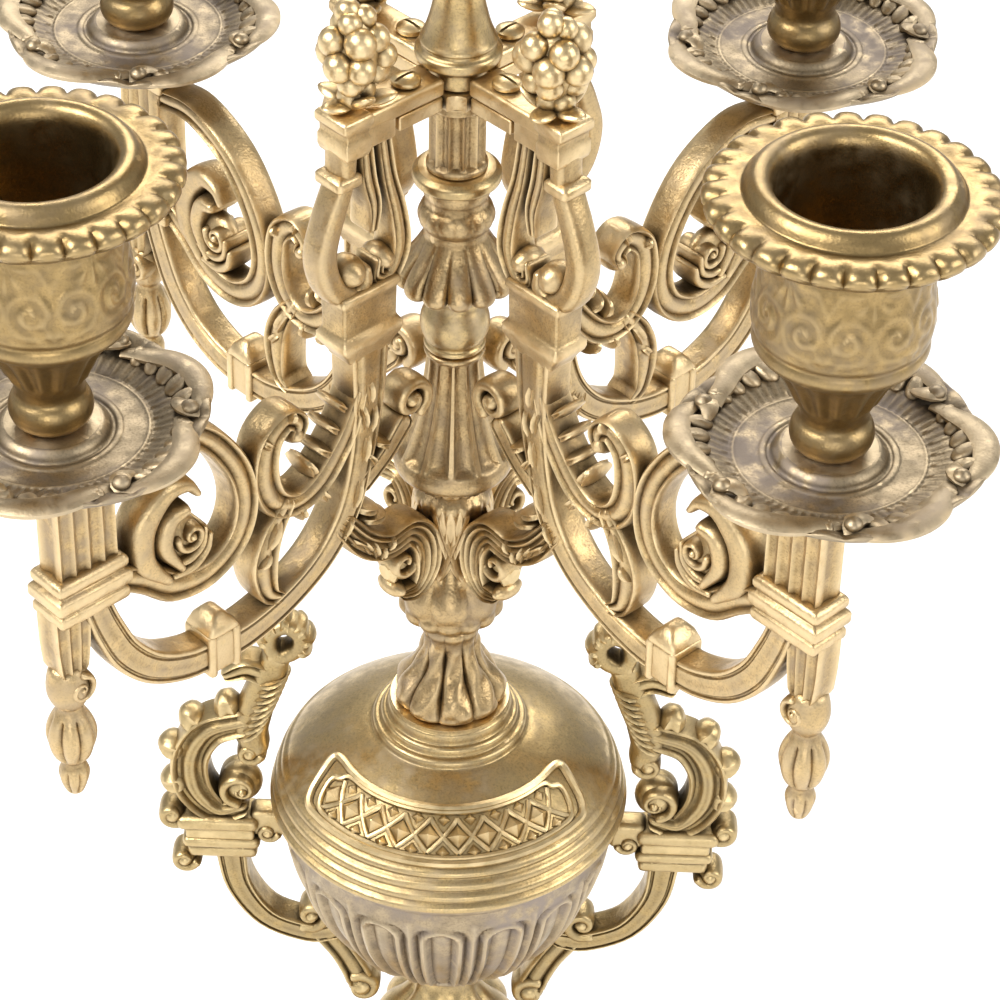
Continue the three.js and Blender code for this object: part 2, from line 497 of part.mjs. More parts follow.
// ---- centre light on top of the column ----
const topPanSeat = vaseTop + seatGap;
const topCupSeat = topPanSeat + bossHigh + seatGap;
const pan = place(candelabra, 'pan_centre', panShape(bore), panBrass);
pan.position.z = topPanSeat;
const cup = place(candelabra, 'cup_centre', cupShape(bore), turnedBrass);
cup.position.z = topCupSeat;
place(candelabra, 'tie_rod', rod(rodR, nutTop - 5.4, topCupSeat + pinLong, 16), steel);

export default candelabra;
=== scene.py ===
import bpy
import bmesh
import math
import numpy as np
from mathutils import Matrix, Vector


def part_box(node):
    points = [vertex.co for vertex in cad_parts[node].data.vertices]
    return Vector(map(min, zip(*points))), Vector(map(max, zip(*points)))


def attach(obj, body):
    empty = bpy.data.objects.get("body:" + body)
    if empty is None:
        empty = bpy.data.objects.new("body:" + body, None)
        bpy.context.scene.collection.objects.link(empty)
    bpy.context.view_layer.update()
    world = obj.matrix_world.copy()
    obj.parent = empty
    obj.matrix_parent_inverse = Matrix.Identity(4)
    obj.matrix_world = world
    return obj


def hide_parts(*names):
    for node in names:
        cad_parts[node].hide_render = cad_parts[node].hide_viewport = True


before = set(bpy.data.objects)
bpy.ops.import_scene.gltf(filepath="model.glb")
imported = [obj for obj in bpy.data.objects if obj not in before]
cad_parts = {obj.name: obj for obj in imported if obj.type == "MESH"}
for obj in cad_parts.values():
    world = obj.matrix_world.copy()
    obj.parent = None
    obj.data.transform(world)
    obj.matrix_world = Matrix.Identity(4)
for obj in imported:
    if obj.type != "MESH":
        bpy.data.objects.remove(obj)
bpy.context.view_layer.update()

# ---- Foot ----
# A round domed foot, cast in brass, with a ring of gadroons and a moulded edge. The whole
# candelabra stands on its rim, and the tie rod is nutted up inside it.
MM = 0.001


def levels(node):
    """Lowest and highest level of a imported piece, in millimetres."""
    low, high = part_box(node)
    return low.z / MM, high.z / MM


def rounded(line, times=2):
    """Cuts the corners of a drawn line, so that short steps stay crisp and long ones flow."""
    for _ in range(times):
        cut = [line[0]]
        for a, b in zip(line, line[1:]):
            cut.append(tuple(0.75 * p + 0.25 * q for p, q in zip(a, b)))
            cut.append(tuple(0.25 * p + 0.75 * q for p, q in zip(a, b)))
        line = cut + [line[-1]]
    return line


def turn_on_lathe(name, outline, sides):
    """Turns an outline of radius and height pairs round the upright axis."""
    bpy.ops.object.select_all(action="DESELECT")
    bpy.ops.mesh.primitive_plane_add(size=MM)
    piece = bpy.context.object
    piece.name = name
    bpy.ops.object.mode_set(mode="EDIT")
    bpy.ops.mesh.merge(type="CENTER")
    r, z = outline[0]
    bpy.ops.transform.translate(value=(r * MM, 0, z * MM))
    for a, b in zip(outline, outline[1:]):
        step = ((b[0] - a[0]) * MM, 0, (b[1] - a[1]) * MM)
        bpy.ops.mesh.extrude_vertices_move(TRANSFORM_OT_translate={"value": step})
    bpy.ops.mesh.select_all(action="SELECT")
    bpy.ops.mesh.spin(steps=sides, angle=math.tau, center=(0, 0, 0), axis=(0, 0, 1))
    bpy.ops.mesh.select_all(action="SELECT")
    bpy.ops.mesh.remove_doubles(threshold=MM * 0.0005)
    bpy.ops.mesh.normals_make_consistent(inside=False)
    bpy.ops.object.mode_set(mode="OBJECT")
    return piece


def with_bore(bore, outline):
    """Closes an outline down its bore."""
    return [(bore, outline[0][1])] + outline + [(bore, outline[-1][1]), (bore, outline[0][1])]


def press(piece, relief, lift=None):
    """Works relief into a turned piece: relief(turn, radius, height) gives how far each point moves
    out, and lift how far it moves up, in millimetres."""
    mesh = piece.data
    place = np.empty(len(mesh.vertices) * 3)
    mesh.vertices.foreach_get("co", place)
    place = place.reshape(-1, 3) / MM
    turn = np.arctan2(place[:, 1], place[:, 0])
    radius = np.hypot(place[:, 0], place[:, 1])
    out = relief(turn, radius, place[:, 2])
    up = lift(turn, radius, place[:, 2]) if lift else 0
    place[:, 0] += np.cos(turn) * out
    place[:, 1] += np.sin(turn) * out
    place[:, 2] += up
    mesh.vertices.foreach_set("co", (place * MM).ravel())
    mesh.update()


def between(value, low, high, soft):
    """1 from low to high, fading to 0 over a soft distance outside them."""
    rise = np.clip((value - low) / soft + 1, 0, 1)
    fall = np.clip((high - value) / soft + 1, 0, 1)
    share = rise * fall
    return share * share * (3 - 2 * share)


def lobes(turn, count, sharp=0.6):
    """0 on the crest of each of a ring's lobes and 1 in the groove between them."""
    return 1 - np.abs(np.cos(turn * count / 2)) ** sharp


def smooth(piece, degrees):
    """Shades a piece smooth but for edges sharper than the given angle."""
    bpy.ops.object.select_all(action="DESELECT")
    piece.select_set(True)
    bpy.context.view_layer.objects.active = piece
    bpy.ops.object.shade_smooth_by_angle(angle=math.radians(degrees))


def antique_brass(name, worn, face, shade_and_pit_colour, dust, rough, dusty, grain):
    """Old metal in four colours: worn where hands and cloths rub, with a painted highlight on the same edges;
    painted shade darkening the recesses, with fine dark pits in the skin; and a dull dusty bloom over the
    face. Grain is the depth of the cast skin."""
    made = bpy.data.materials.new(name)
    made.use_nodes = True
    nodes, links = made.node_tree.nodes, made.node_tree.links
    shader = nodes["Principled BSDF"]
    shader.inputs["Metallic"].default_value = 1.0
    where = nodes.new("ShaderNodeTexCoord").outputs["Object"]

    def noise(scale, detail):
        cloud = nodes.new("ShaderNodeTexNoise")
        cloud.inputs["Scale"].default_value = scale
        cloud.inputs["Detail"].default_value = detail
        links.new(where, cloud.inputs["Vector"])
        return cloud.outputs["Fac"]

    def spread(value, low, high, out_low=0.0, out_high=1.0):
        ranged = nodes.new("ShaderNodeMapRange")
        links.new(value, ranged.inputs["Value"])
        ends = (("From Min", low), ("From Max", high), ("To Min", out_low), ("To Max", out_high))
        for socket, number in ends:
            ranged.inputs[socket].default_value = number
        return ranged.outputs["Result"]

    def sum_of(kind, a, b):
        sums = nodes.new("ShaderNodeMath")
        sums.operation = kind
        sums.use_clamp = True
        for socket, value in zip(sums.inputs, (a, b)):
            if isinstance(value, float):
                socket.default_value = value
            else:
                links.new(value, socket)
        return sums.outputs["Value"]

    def mix(share, a, b):
        mixed = nodes.new("ShaderNodeMix")
        mixed.data_type = "RGBA"
        links.new(share, mixed.inputs[0])
        for socket, value in ((mixed.inputs[6], a), (mixed.inputs[7], b)):
            if isinstance(value, tuple):
                socket.default_value = value + (1,)
            else:
                links.new(value, socket)
        return mixed.outputs[2]

    # noise from patches of 17 mm down to grains of 0.4 mm
    patches = noise(60, 3)
    mottle = noise(380, 5)
    fine = noise(2600, 3)
    # painted shade: ambient occlusion darkens the recesses and the gaps between parts towards the shade
    # colour, mottled, and roughens them
    shelter = nodes.new("ShaderNodeAmbientOcclusion")
    shelter.samples = 6
    shelter.only_local = True
    shelter.inputs["Distance"].default_value = 4.5 * MM
    painted_shade = spread(shelter.outputs["AO"], 0.30, 0.86, 1.0, 0.0)
    painted_shade = sum_of("MULTIPLY", painted_shade, spread(mottle, 0.25, 0.6, 0.55, 1.0))
    # convex edges: real wear, lightened to the worn colour, which also serves as a painted highlight along
    # the edges
    edge = spread(nodes.new("ShaderNodeNewGeometry").outputs["Pointiness"], 0.50, 0.57)
    edge = sum_of("MULTIPLY", edge, spread(mottle, 0.3, 0.6, 0.4, 1.0))
    bloom = sum_of("MULTIPLY", spread(patches, 0.42, 0.66), spread(mottle, 0.35, 0.65))
    bloom = sum_of("MULTIPLY", bloom, dusty * 1.6)
    colour = mix(spread(mottle, 0.36, 0.64), tuple(c * 1.12 for c in face), tuple(c * 0.76 for c in face))
    # fine dark pits in the cast skin, in the shade colour
    colour = mix(spread(fine, 0.48, 0.68, 0.0, 0.42), colour, shade_and_pit_colour)
    colour = mix(bloom, colour, dust)
    # worn edges with a painted highlight
    colour = mix(edge, colour, worn)
    # painted shade in the recesses
    colour = mix(painted_shade, colour, shade_and_pit_colour)
    links.new(colour, shader.inputs["Base Color"])
    dull = spread(mottle, 0.25, 0.75, rough - 0.06, rough + 0.07)
    dull = sum_of("ADD", dull, sum_of("MULTIPLY", painted_shade, 0.22))
    dull = sum_of("ADD", dull, sum_of("MULTIPLY", bloom, 0.18))
    links.new(dull, shader.inputs["Roughness"])
    bump = nodes.new("ShaderNodeBump")
    bump.inputs["Strength"].default_value = grain
    bump.inputs["Distance"].default_value = 0.34 * MM
    skin = sum_of("ADD", sum_of("MULTIPLY", fine, 0.22), sum_of("MULTIPLY", mottle, 0.78))
    links.new(skin, bump.inputs["Height"])
    links.new(bump.outputs["Normal"], shader.inputs["Normal"])
    return made


# each finish's colours: edge wear with a painted highlight, face, painted shade for the recesses and pits,
# dust
cast = antique_brass("cast_brass", (0.72, 0.54, 0.30), (0.43, 0.30, 0.145), (0.11, 0.075, 0.035),
                     (0.37, 0.285, 0.195), 0.36, 0.5, 0.75)
turned = antique_brass("turned_brass", (0.74, 0.57, 0.31), (0.50, 0.36, 0.165), (0.15, 0.105, 0.045),
                       (0.43, 0.34, 0.22), 0.33, 0.45, 0.30)


def hand_in(piece, node, body, finish, degrees=38):
    """Gives a finished piece its surface and its place in the frame."""
    smooth(piece, degrees)
    piece.data.materials.clear()
    piece.data.materials.append(finish)
    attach(piece, body)
    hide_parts(node)


rod_bore = 2.3
_, foot_top = levels("foot")
foot_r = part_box("foot")[1].x / MM
foot_out = [(foot_r - 3.2, 0), (foot_r, 0), (foot_r, 1.2), (foot_r - 0.2, 2.4), (foot_r - 1.4, 3.0),
            (foot_r - 1.4, 3.8), (foot_r - 2.4, 4.2), (foot_r - 3.0, 5.2), (foot_r * 0.86, 7.6),
            (foot_r * 0.74, 10.4), (foot_r * 0.60, 12.4), (foot_r * 0.50, 13.6), (foot_r * 0.47, 14.8),
            (foot_r * 0.42, 15.0), (foot_r * 0.40, 16.0), (foot_r * 0.33, 16.6), (foot_r * 0.28, 18.2),
            (foot_r * 0.27, foot_top)]
foot_in = [(rod_bore, foot_top), (rod_bore, foot_top - 4.2), (foot_r * 0.30, foot_top - 5.2),
           (foot_r * 0.52, foot_top - 9.5), (foot_r * 0.78, 6.0), (foot_r - 3.2, 1.6), (foot_r - 3.2, 0)]
foot = turn_on_lathe("cast_foot", rounded(foot_out) + foot_in, 192)
press(foot, lambda turn, r, z: -1.2 * lobes(turn, 24) * between(z, 6.4, 12.0, 1.4) * (r > 17))
hand_in(foot, "foot", "base", cast)

# ---- Stem ----
# The short column between foot and urn: a knopped piece of turned brass with leaf lobes on its bulb.
stem_low, _ = levels("stem")
stem_line = [(9.6, 0), (9.6, 1.0), (9.0, 2.2), (7.0, 3.2), (5.6, 5.4), (5.0, 7.4), (5.2, 8.6), (7.0, 9.8),
             (9.4, 12.2), (11.6, 15.0), (12.7, 17.6), (12.8, 19.6), (11.4, 21.8), (8.6, 24.4),
             (6.4, 27.2), (5.0, 29.6), (4.9, 31.2), (5.6, 32.0), (6.2, 33.0), (6.3, 34.2), (5.8, 35.4),
             (5.0, 36.2), (4.9, 38.4)]
stem = turn_on_lathe("turned_stem", [(r, z + stem_low) for r,
                                     z in with_bore(rod_bore, rounded(stem_line))], 96)
press(stem, lambda turn, r, z: -1.3 * lobes(turn, 10) * between(z - stem_low, 12.5, 26.0, 2.5) * (r > 4))
hand_in(stem, "stem", "base", turned)

# ---- Urn bowl ----
# A cast bowl with a ring of arch-topped flutes. Inside it is open, with a boss for the tie rod.
bowl_low, bowl_top = levels("urn_bowl")
bowl_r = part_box("urn_bowl")[1].x / MM
bowl_high = bowl_top - bowl_low
bowl_units = 16
bowl_out = [(0.40, 0), (0.45, 0.01), (0.46, 0.05), (0.56, 0.12), (0.66, 0.20), (0.75, 0.30), (0.82, 0.40),
            (0.88, 0.50), (0.92, 0.60), (0.945, 0.68), (0.958, 0.74), (0.968, 0.79), (0.976, 0.84),
            (0.978, 0.89), (0.982, 0.94), (1.0, 0.96), (1.0, 1.0)]
bowl_line = [(bowl_r * r, bowl_low + bowl_high * z) for r, z in bowl_out]
bowl_in = [(bowl_r - 2.2, 1.0), (bowl_r * 0.90 - 2.2, 0.66), (bowl_r * 0.76 - 2.2, 0.42),
           (bowl_r * 0.50 - 2.2, 0.12), (rod_bore, 0.09), (rod_bore, 0)]
bowl_in = [(r, bowl_low + bowl_high * z) for r, z in bowl_in]
bowl = turn_on_lathe("cast_bowl", [(rod_bore, bowl_low)] + rounded(bowl_line) + bowl_in, bowl_units * 18)


def flutes(turn, r, z):
    """Round-arched hollows, each with a raised rim and a tongue, and a dart between every two."""
    across = np.abs((turn * bowl_units / math.tau + 0.5) % 1 - 0.5) * 2
    high = (z - bowl_low) / bowl_high
    over = np.clip(high - 0.72, 0, None) * bowl_high / 5.4
    ring = np.hypot(across, over)
    below = between(high, 0.06, 0.80, 0.03)
    outside = between(r, np.interp(high, [0, 0.2, 0.4, 0.62, 1], [8, 17.8, 22.6, 25.8, 27.6]), 99, 0.5)
    tongue = 0.55 * np.sqrt(np.clip(1 - (ring / 0.33) ** 2, 0, 1))
    hollow = -1.15 * between(ring, 0.0, 0.40, 0.10) - 0.75 * np.exp(-((ring - 0.80) / 0.085) ** 2)
    rim = 0.40 * np.exp(-((ring - 0.60) / 0.09) ** 2)
    dart = 0.45 * np.exp(-((across - 1) / 0.10) ** 2) * between(high, 0.08, 0.84, 0.04)
    return ((tongue + hollow + rim) * below + dart) * outside


press(bowl, flutes)
# colours: edge wear with a painted highlight, face, painted shade for the recesses and pits, dust
patina = antique_brass("bowl_patina", (0.62, 0.50, 0.33), (0.38, 0.295, 0.185), (0.15, 0.11, 0.07),
                       (0.345, 0.285, 0.235), 0.40, 0.95, 0.55)
hand_in(bowl, "urn_bowl", "base", patina)

# ---- Urn cover ----
# A domed cover, turned and polished, with three ridges round its lip, stepped rings on top and, on
# its front, a raised crescent panel with a lattice of pyramid studs inside two beaded lines.
cover_low, _ = levels("urn_cover")
cover_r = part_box("urn_cover")[1].x / MM
dome = [(0.955, 0.0), (0.985, 0.1), (1.0, 0.6), (0.998, 1.4), (0.975, 1.9), (0.966, 2.2), (0.985, 2.6),
        (0.982, 3.5), (0.958, 4.0), (0.950, 4.3), (0.966, 4.7), (0.960, 5.7), (0.932, 6.2), (0.925, 6.5),
        (0.936, 6.9), (0.926, 7.7), (0.898, 8.2), (0.884, 8.8), (0.850, 9.8), (0.795, 11.2), (0.73, 12.7),
        (0.66, 14.0), (0.59, 15.1), (0.52, 16.0), (0.470, 16.6), (0.440, 16.9), (0.428, 17.1),
        (0.424, 17.9), (0.412, 18.4), (0.386, 18.5), (0.380, 18.8), (0.377, 19.6), (0.366, 20.0),
        (0.348, 20.1), (0.343, 20.4), (0.341, 21.2), (0.336, 21.9), (0.328, 22.1), (0.326, 22.9)]
dome_line = rounded([(cover_r * r, cover_low + z) for r, z in dome])
cover_in = [(rod_bore, 22.9), (rod_bore, 18.3), (cover_r * 0.44, 14.1), (cover_r * 0.66 - 2.4, 12.0),
            (cover_r * 0.86 - 2.4, 7.6), (cover_r * 0.97 - 2.4, 2.4), (cover_r * 0.97 - 2.4, 0),
            (cover_r * 0.975, 0)]
cover = turn_on_lathe("domed_cover", dome_line + [(r, cover_low + z) for r, z in cover_in], 192)


def dome_radius(height):
    """Outer radius of the cover at a height."""
    return float(np.interp(height, [z for _, z in dome_line], [r for r, _ in dome_line]))


def turn_at(across, height):
    """How far round from its middle the dome is this far across."""
    return math.asin(max(-0.97, min(0.97, across / dome_radius(height))))


def on_dome(turn, height, lift=0.0):
    """A point on the dome at a turn and height, lifted off along its slope, with the slope's way out."""
    r = dome_radius(height)
    fall = dome_radius(height + 0.5) - dome_radius(height - 0.5)
    out = Vector((math.cos(turn), math.sin(turn), -fall)).normalized()
    return (Vector((r * math.cos(turn), r * math.sin(turn), height)) + out * lift) * MM, out


def bead_line(spots, half, closed):
    """A round bead of wire laid through the given spots."""
    drawn = bpy.data.curves.new("bead", "CURVE")
    drawn.dimensions = "3D"
    drawn.bevel_depth = half * MM
    drawn.bevel_resolution = 2
    line = drawn.splines.new("POLY")
    line.points.add(len(spots) - 1)
    for point, spot in zip(line.points, spots):
        point.co = (*spot, 1)
    line.use_cyclic_u = closed
    drawn.use_fill_caps = not closed
    wire = bpy.data.objects.new("bead", drawn)
    bpy.context.collection.objects.link(wire)
    bpy.ops.object.select_all(action="DESELECT")
    wire.select_set(True)
    bpy.context.view_layer.objects.active = wire
    bpy.ops.object.convert(target="MESH")
    return bpy.context.object


def join(name, parts):
    """Makes one casting of several parts."""
    bpy.ops.object.select_all(action="DESELECT")
    for part in parts:
        part.select_set(True)
    bpy.context.view_layer.objects.active = parts[0]
    bpy.ops.object.join()
    parts[0].name = name
    return parts[0]


cover_parts = [cover]
front = -math.pi / 2
for inward, half in ((0.0, 0.8), (1.0, 0.55)):
    low = cover_low + 8.7 + 0.7 * inward
    high = cover_low + 14.9 - 0.35 * inward
    wide = 23.4 - 1.9 * inward
    drawn = rounded([(0, low), (wide - 1.4, low), (wide, low + 0.2), (wide - 0.3, low + 1.4),
                     (wide - 2.0, low + 3.4), (wide - 3.6, high - 1.3), (wide - 4.7, high - 0.7),
                     (wide - 6.0, high - 0.5), (wide - 7.8, high - 0.6), (0, high - 0.6)])
    edge = []
    for (a, z0), (b, z1) in zip(drawn, drawn[1:]):
        steps = max(1, int(abs(b - a) / 0.9))
        edge += [(a + (b - a) * n / steps, z0 + (z1 - z0) * n / steps) for n in range(steps)]
    edge.append(drawn[-1])
    loop = edge + [(-a, z) for a, z in reversed(edge[1:-1])]
    spots = [on_dome(front + turn_at(a, z), z, 0.15)[0] for a, z in loop]
    cover_parts.append(bead_line(spots, half, True))
studs = 9
low, high = cover_low + 9.9, cover_low + 13.4
half_high = (low + high) / 2
pitch = 2 * turn_at(19.2, half_high) / studs
for k in range(studs):
    middle = front + (k - (studs - 1) / 2) * pitch
    for way in (-1, 1):
        first = middle - way * pitch / 2
        spots = [on_dome(first + way * pitch * n / 6, low + (high - low) * n / 6)[0] for n in range(7)]
        cover_parts.append(bead_line(spots, 0.48, False))
    for turn, height, size in ((middle - pitch / 2, half_high, 2.15), (middle, low + 0.1, 1.3),
                               (middle, high - 0.1, 1.15)):
        spot, out = on_dome(turn, height, 0.1 + 0.36 * size)
        bpy.ops.mesh.primitive_cone_add(vertices=4, radius1=size * MM, radius2=0.12 * MM,
                                        depth=0.85 * size * MM)
        stud = bpy.context.object
        tilt = out.to_track_quat("Z", "X").to_matrix().to_4x4()
        stud.data.transform(Matrix.Translation(spot) @ tilt)
        cover_parts.append(stud)
cover = join("domed_cover", cover_parts)
hand_in(cover, "urn_cover", "base", turned)

# ---- Handles ----
# Two flat castings screwed to the urn from inside: a low arm, a moulded shelf with ball volutes,
# a fluted C scroll with beads on its back and a ribbed neck that ends in a curl.
HALF_MOULDED = [(1.0, 0.45), (0.96, 0.85), (0.82, 1.0), (0.66, 0.92), (0.54, 0.70), (0.40, 0.80),
                (0.2, 0.92)]
HALF_LINED = [(1.0, 0.66), (0.96, 0.92), (0.87, 1.0), (0.76, 1.0), (0.69, 0.86), (0.60, 0.86),
              (0.50, 0.98), (0.25, 1.0)]
HALF_ROUND = [(1.0, 0.30), (0.93, 0.60), (0.78, 0.82), (0.55, 0.95), (0.28, 1.0)]


def section(half, middle):
    """Closes one quarter of a bar's section into the whole."""
    top = half + [(0.0, middle)] + [(-a, b) for a, b in reversed(half)]
    return [(1.02, 0.0)] + top + [(-1.02, 0.0)] + [(a, -b) for a, b in reversed(top)]


def reeded(count, deep):
    """A bar's section with hollow reeds down both its faces."""
    top = []
    for k in range(count * 4 + 1):
        across = 1 - 2 * k / (count * 4)
        top.append((across, 1 - deep * abs(math.sin(math.pi * k / 4)) ** 0.8))
    top[0], top[-1] = (0.97, 0.93), (-0.97, 0.93)
    left = [(-1.0, 0.6), (-0.93, 0.2), (-0.93, -0.2), (-1.0, -0.6)]
    right = [(1.0, -0.6), (0.93, -0.2), (0.93, 0.2)]
    return [(1.0, 0.6)] + top + left + [(a, -b) for a, b in reversed(top)] + right


MOULDED = section(HALF_MOULDED, 0.95)
LINED = section(HALF_LINED, 1.0)
ROUND = section(HALF_ROUND, 1.02)


def through(points, steps):
    """A smooth line through the points."""
    p = np.array(points, float)
    p = np.vstack([2 * p[0] - p[1], p, 2 * p[-1] - p[-2]])
    line = []
    for a, b, c, d in zip(p, p[1:], p[2:], p[3:]):
        for k in range(steps):
            t = k / steps
            bend = (2 * a - 5 * b + 4 * c - d) * t ** 2 + (3 * b - 3 * c + d - a) * t ** 3
            line.append(0.5 * (2 * b + (c - a) * t + bend))
    return np.array(line + [p[-2]])


def sweep(sides, spots, shape=None):
    """Extrudes a flat section through a row of places. Without a shape the section is round."""
    bpy.ops.object.select_all(action="DESELECT")
    bpy.ops.mesh.primitive_circle_add(vertices=sides, radius=1, fill_type="NGON")
    part = bpy.context.object
    for n, v in enumerate(part.data.vertices):
        v.co = spots[0] @ (Vector((*shape[n], 0)) if shape else v.co)
    bpy.ops.object.mode_set(mode="EDIT")
    bpy.ops.mesh.select_all(action="SELECT")
    for before, after in zip(spots, spots[1:]):
        bpy.ops.mesh.extrude_region_move()
        carry = after @ before.inverted()
        mesh = bmesh.from_edit_mesh(part.data)
        for v in mesh.verts:
            if v.select:
                v.co = carry @ v.co
        bmesh.update_edit_mesh(part.data)
    bpy.ops.mesh.select_all(action="SELECT")
    bpy.ops.mesh.normals_make_consistent(inside=False)
    bpy.ops.object.mode_set(mode="OBJECT")
    return part


def strand(points, shape, thick, steps):
    """A cast strand in the XZ plane. Its points are x, z and half width, and its ends are rounded."""
    line = through(points, steps)
    way = np.gradient(line[:, :2], axis=0)
    way /= np.linalg.norm(way, axis=1)[:, None]
    rings = [(x, z, max(w, 0.25), 1.0, h) for (x, z, w), h in zip(line, way)]
    tips = []
    for (x, z, w, _, h), sign in ((rings[0], -1), (rings[-1], 1)):
        tips.append([(x + sign * h[0] * w * a, z + sign * h[1] * w * a, w * b, c, h)
                     for a, b, c in ((0.35, 0.85, 0.94), (0.60, 0.50, 0.72))])
    rings = tips[0][::-1] + rings + tips[1]
    spots = []
    for x, z, w, flat, h in rings:
        spots.append(Matrix(((-h[1] * w * MM, 0, h[0] * MM, x * MM), (0, thick / 2 * flat * MM, 0, 0),
                             (h[0] * w * MM, 0, h[1] * MM, z * MM), (0, 0, 0, 1))))
    return sweep(len(shape), spots, shape)


def spiral(x, z, r, turns, start, half, thick):
    """A rounded coil from radius r towards the eye; turns below zero wind clockwise."""
    points = []
    count = max(6, int(abs(turns) * 10))
    for k in range(count + 1):
        share = k / count
        angle = math.radians(start) + math.tau * turns * share
        out = r * (1 - 0.82 * share)
        points.append((x + out * math.cos(angle), z + out * math.sin(angle), half * (1 - 0.45 * share)))
    return strand(points, ROUND, thick, 3)


def boss(x, z, r, thick):
    """A domed round boss that shows on both faces of a casting, with a shallow ring cut round it."""
    bpy.ops.mesh.primitive_uv_sphere_add(segments=20, ring_count=12, radius=1)
    part = bpy.context.object
    for v in part.data.vertices:
        far = math.hypot(v.co.x, v.co.y)
        v.co.z *= 1 - 0.10 * math.exp(-((far - 0.66) / 0.12) ** 2)
    tilt = Matrix.Rotation(math.pi / 2, 4, "X")
    size = Matrix.Diagonal((r * MM, r * MM, thick / 2 * MM, 1))
    part.data.transform(Matrix.Translation((x * MM, 0, z * MM)) @ tilt @ size)
    return part


def block(x0, x1, thick, z0, z1, edge=0.5):
    """A squared block with worn edges."""
    bpy.ops.mesh.primitive_cube_add(size=1)
    part = bpy.context.object
    size = Matrix.Diagonal(((x1 - x0) * MM, thick * MM, (z1 - z0) * MM, 1))
    part.data.transform(Matrix.Translation(((x0 + x1) / 2 * MM, 0, (z0 + z1) / 2 * MM)) @ size)
    bpy.ops.object.mode_set(mode="EDIT")
    bpy.ops.mesh.select_all(action="SELECT")
    bpy.ops.mesh.bevel(offset=edge * MM, segments=3, affect="EDGES")
    bpy.ops.object.mode_set(mode="OBJECT")
    return part


bpy.ops.mesh.primitive_uv_sphere_add(segments=12, ring_count=9, radius=1)
petal_pattern = bpy.context.object
petal_pattern.data.transform(Matrix.Rotation(math.pi / 2, 4, "Y"))
for v in petal_pattern.data.vertices:
    along = (v.co.x + 1) / 2
    crease = 1 - 0.28 * math.exp(-(v.co.z / 0.22) ** 2) * math.sin(math.pi * along)
    body = 1.12 * math.sin(math.pi * min(1.0, along ** 0.75)) ** 0.1
    v.co = Vector((along, v.co.y * crease * body, v.co.z * (1.1 - 0.35 * along)))
petal_mesh = petal_pattern.data.copy()
bpy.data.objects.remove(petal_pattern)


def petal(spot, long, wide, thick):
    """A creased leaf lobe, from its root at the given spot along the spot's own X."""
    part = bpy.data.objects.new("petal", petal_mesh.copy())
    bpy.context.collection.objects.link(part)
    size = Matrix.Diagonal((long * MM, thick / 2 * MM, wide / 2 * MM, 1))
    shift = spot.copy()
    shift.translation = spot.translation * MM
    part.data.transform(shift @ size)
    return part


def flat_petal(x, z, degrees, long, wide, thick=6.0):
    """A leaf lobe in the plane of a casting, showing on both faces."""
    root = Matrix.Translation((x, 0, z)) @ Matrix.Rotation(-math.radians(degrees), 4, "Y")
    return petal(root, long, wide, thick)


CHANNEL = section([(1.0, 0.5), (0.95, 0.9), (0.84, 1.0), (0.70, 0.88), (0.60, 0.66), (0.46, 0.62),
                   (0.34, 0.70), (0.26, 0.86), (0.14, 0.93)], 0.90)
h_thick = 5.4
handle_parts = [
    # low arm from the shelf down to the urn, with its volutes
    strand([(38.6, 81.6, 2.8), (37.2, 72.5, 2.4), (32.4, 64.6, 2.2), (25.0, 61.2, 2.3),
            (20.4, 61.6, 2.0)], LINED, h_thick, 5),
    spiral(24.4, 65.2, 3.2, -1.2, -60, 1.3, 5.8),
    boss(24.4, 65.2, 2.0, 6.2),
    strand([(22.4, 62.0, 2.6), (19.0, 56.6, 2.4), (16.8, 52.0, 2.5), (15.8, 49.2, 2.6)], MOULDED, h_thick,
           4),
    spiral(15.4, 47.4, 3.0, 1.2, 60, 1.2, 6.2),
    boss(15.4, 47.4, 2.8, 7.0),
    # moulded shelf, bedded on the urn
    block(28.4, 35.0, h_thick - 0.6, 84.6, 90.2, 1.2),
    block(33.8, 46.2, h_thick + 0.4, 79.4, 82.2, 1.1),
    block(33.2, 47.0, h_thick + 1.4, 82.0, 84.4, 1.1),
    block(34.2, 46.4, h_thick + 0.6, 84.0, 86.6, 0.6),
    block(33.4, 48.0, h_thick + 1.8, 86.2, 89.2, 1.3),
    # C scroll on its ball
    strand([(36.6, 91.4, 2.0), (40.8, 90.6, 2.9), (44.6, 95.6, 3.5), (45.0, 102.8, 3.4),
            (41.8, 108.8, 3.2), (35.6, 111.4, 2.8)], CHANNEL, h_thick + 0.4, 6),
    spiral(36.4, 96.2, 3.5, 1.2, -80, 1.1, 7.2),
    boss(36.4, 96.2, 3.8, 7.0),
    boss(36.0, 96.2, 1.4, 8.6),
    # ribbed neck and its leafy curl
    strand([(33.6, 105.0, 2.4), (34.4, 108.6, 3.0), (33.8, 112.8, 3.2), (32.2, 118.2, 2.9),
            (30.6, 122.6, 2.7), (29.6, 125.6, 2.4)], ROUND, h_thick, 5),
    strand([(30.8, 121.8, 2.2), (34.6, 123.4, 2.0), (38.2, 122.0, 1.3)], MOULDED, h_thick, 4),
    strand([(30.4, 126.6, 1.5), (28.0, 126.6, 1.5), (25.6, 128.6, 1.6), (25.6, 131.4, 1.6),
            (27.8, 133.0, 1.5), (30.2, 131.6, 1.4), (30.6, 128.6, 1.4), (29.8, 126.8, 1.4)], ROUND,
           h_thick, 3),
]
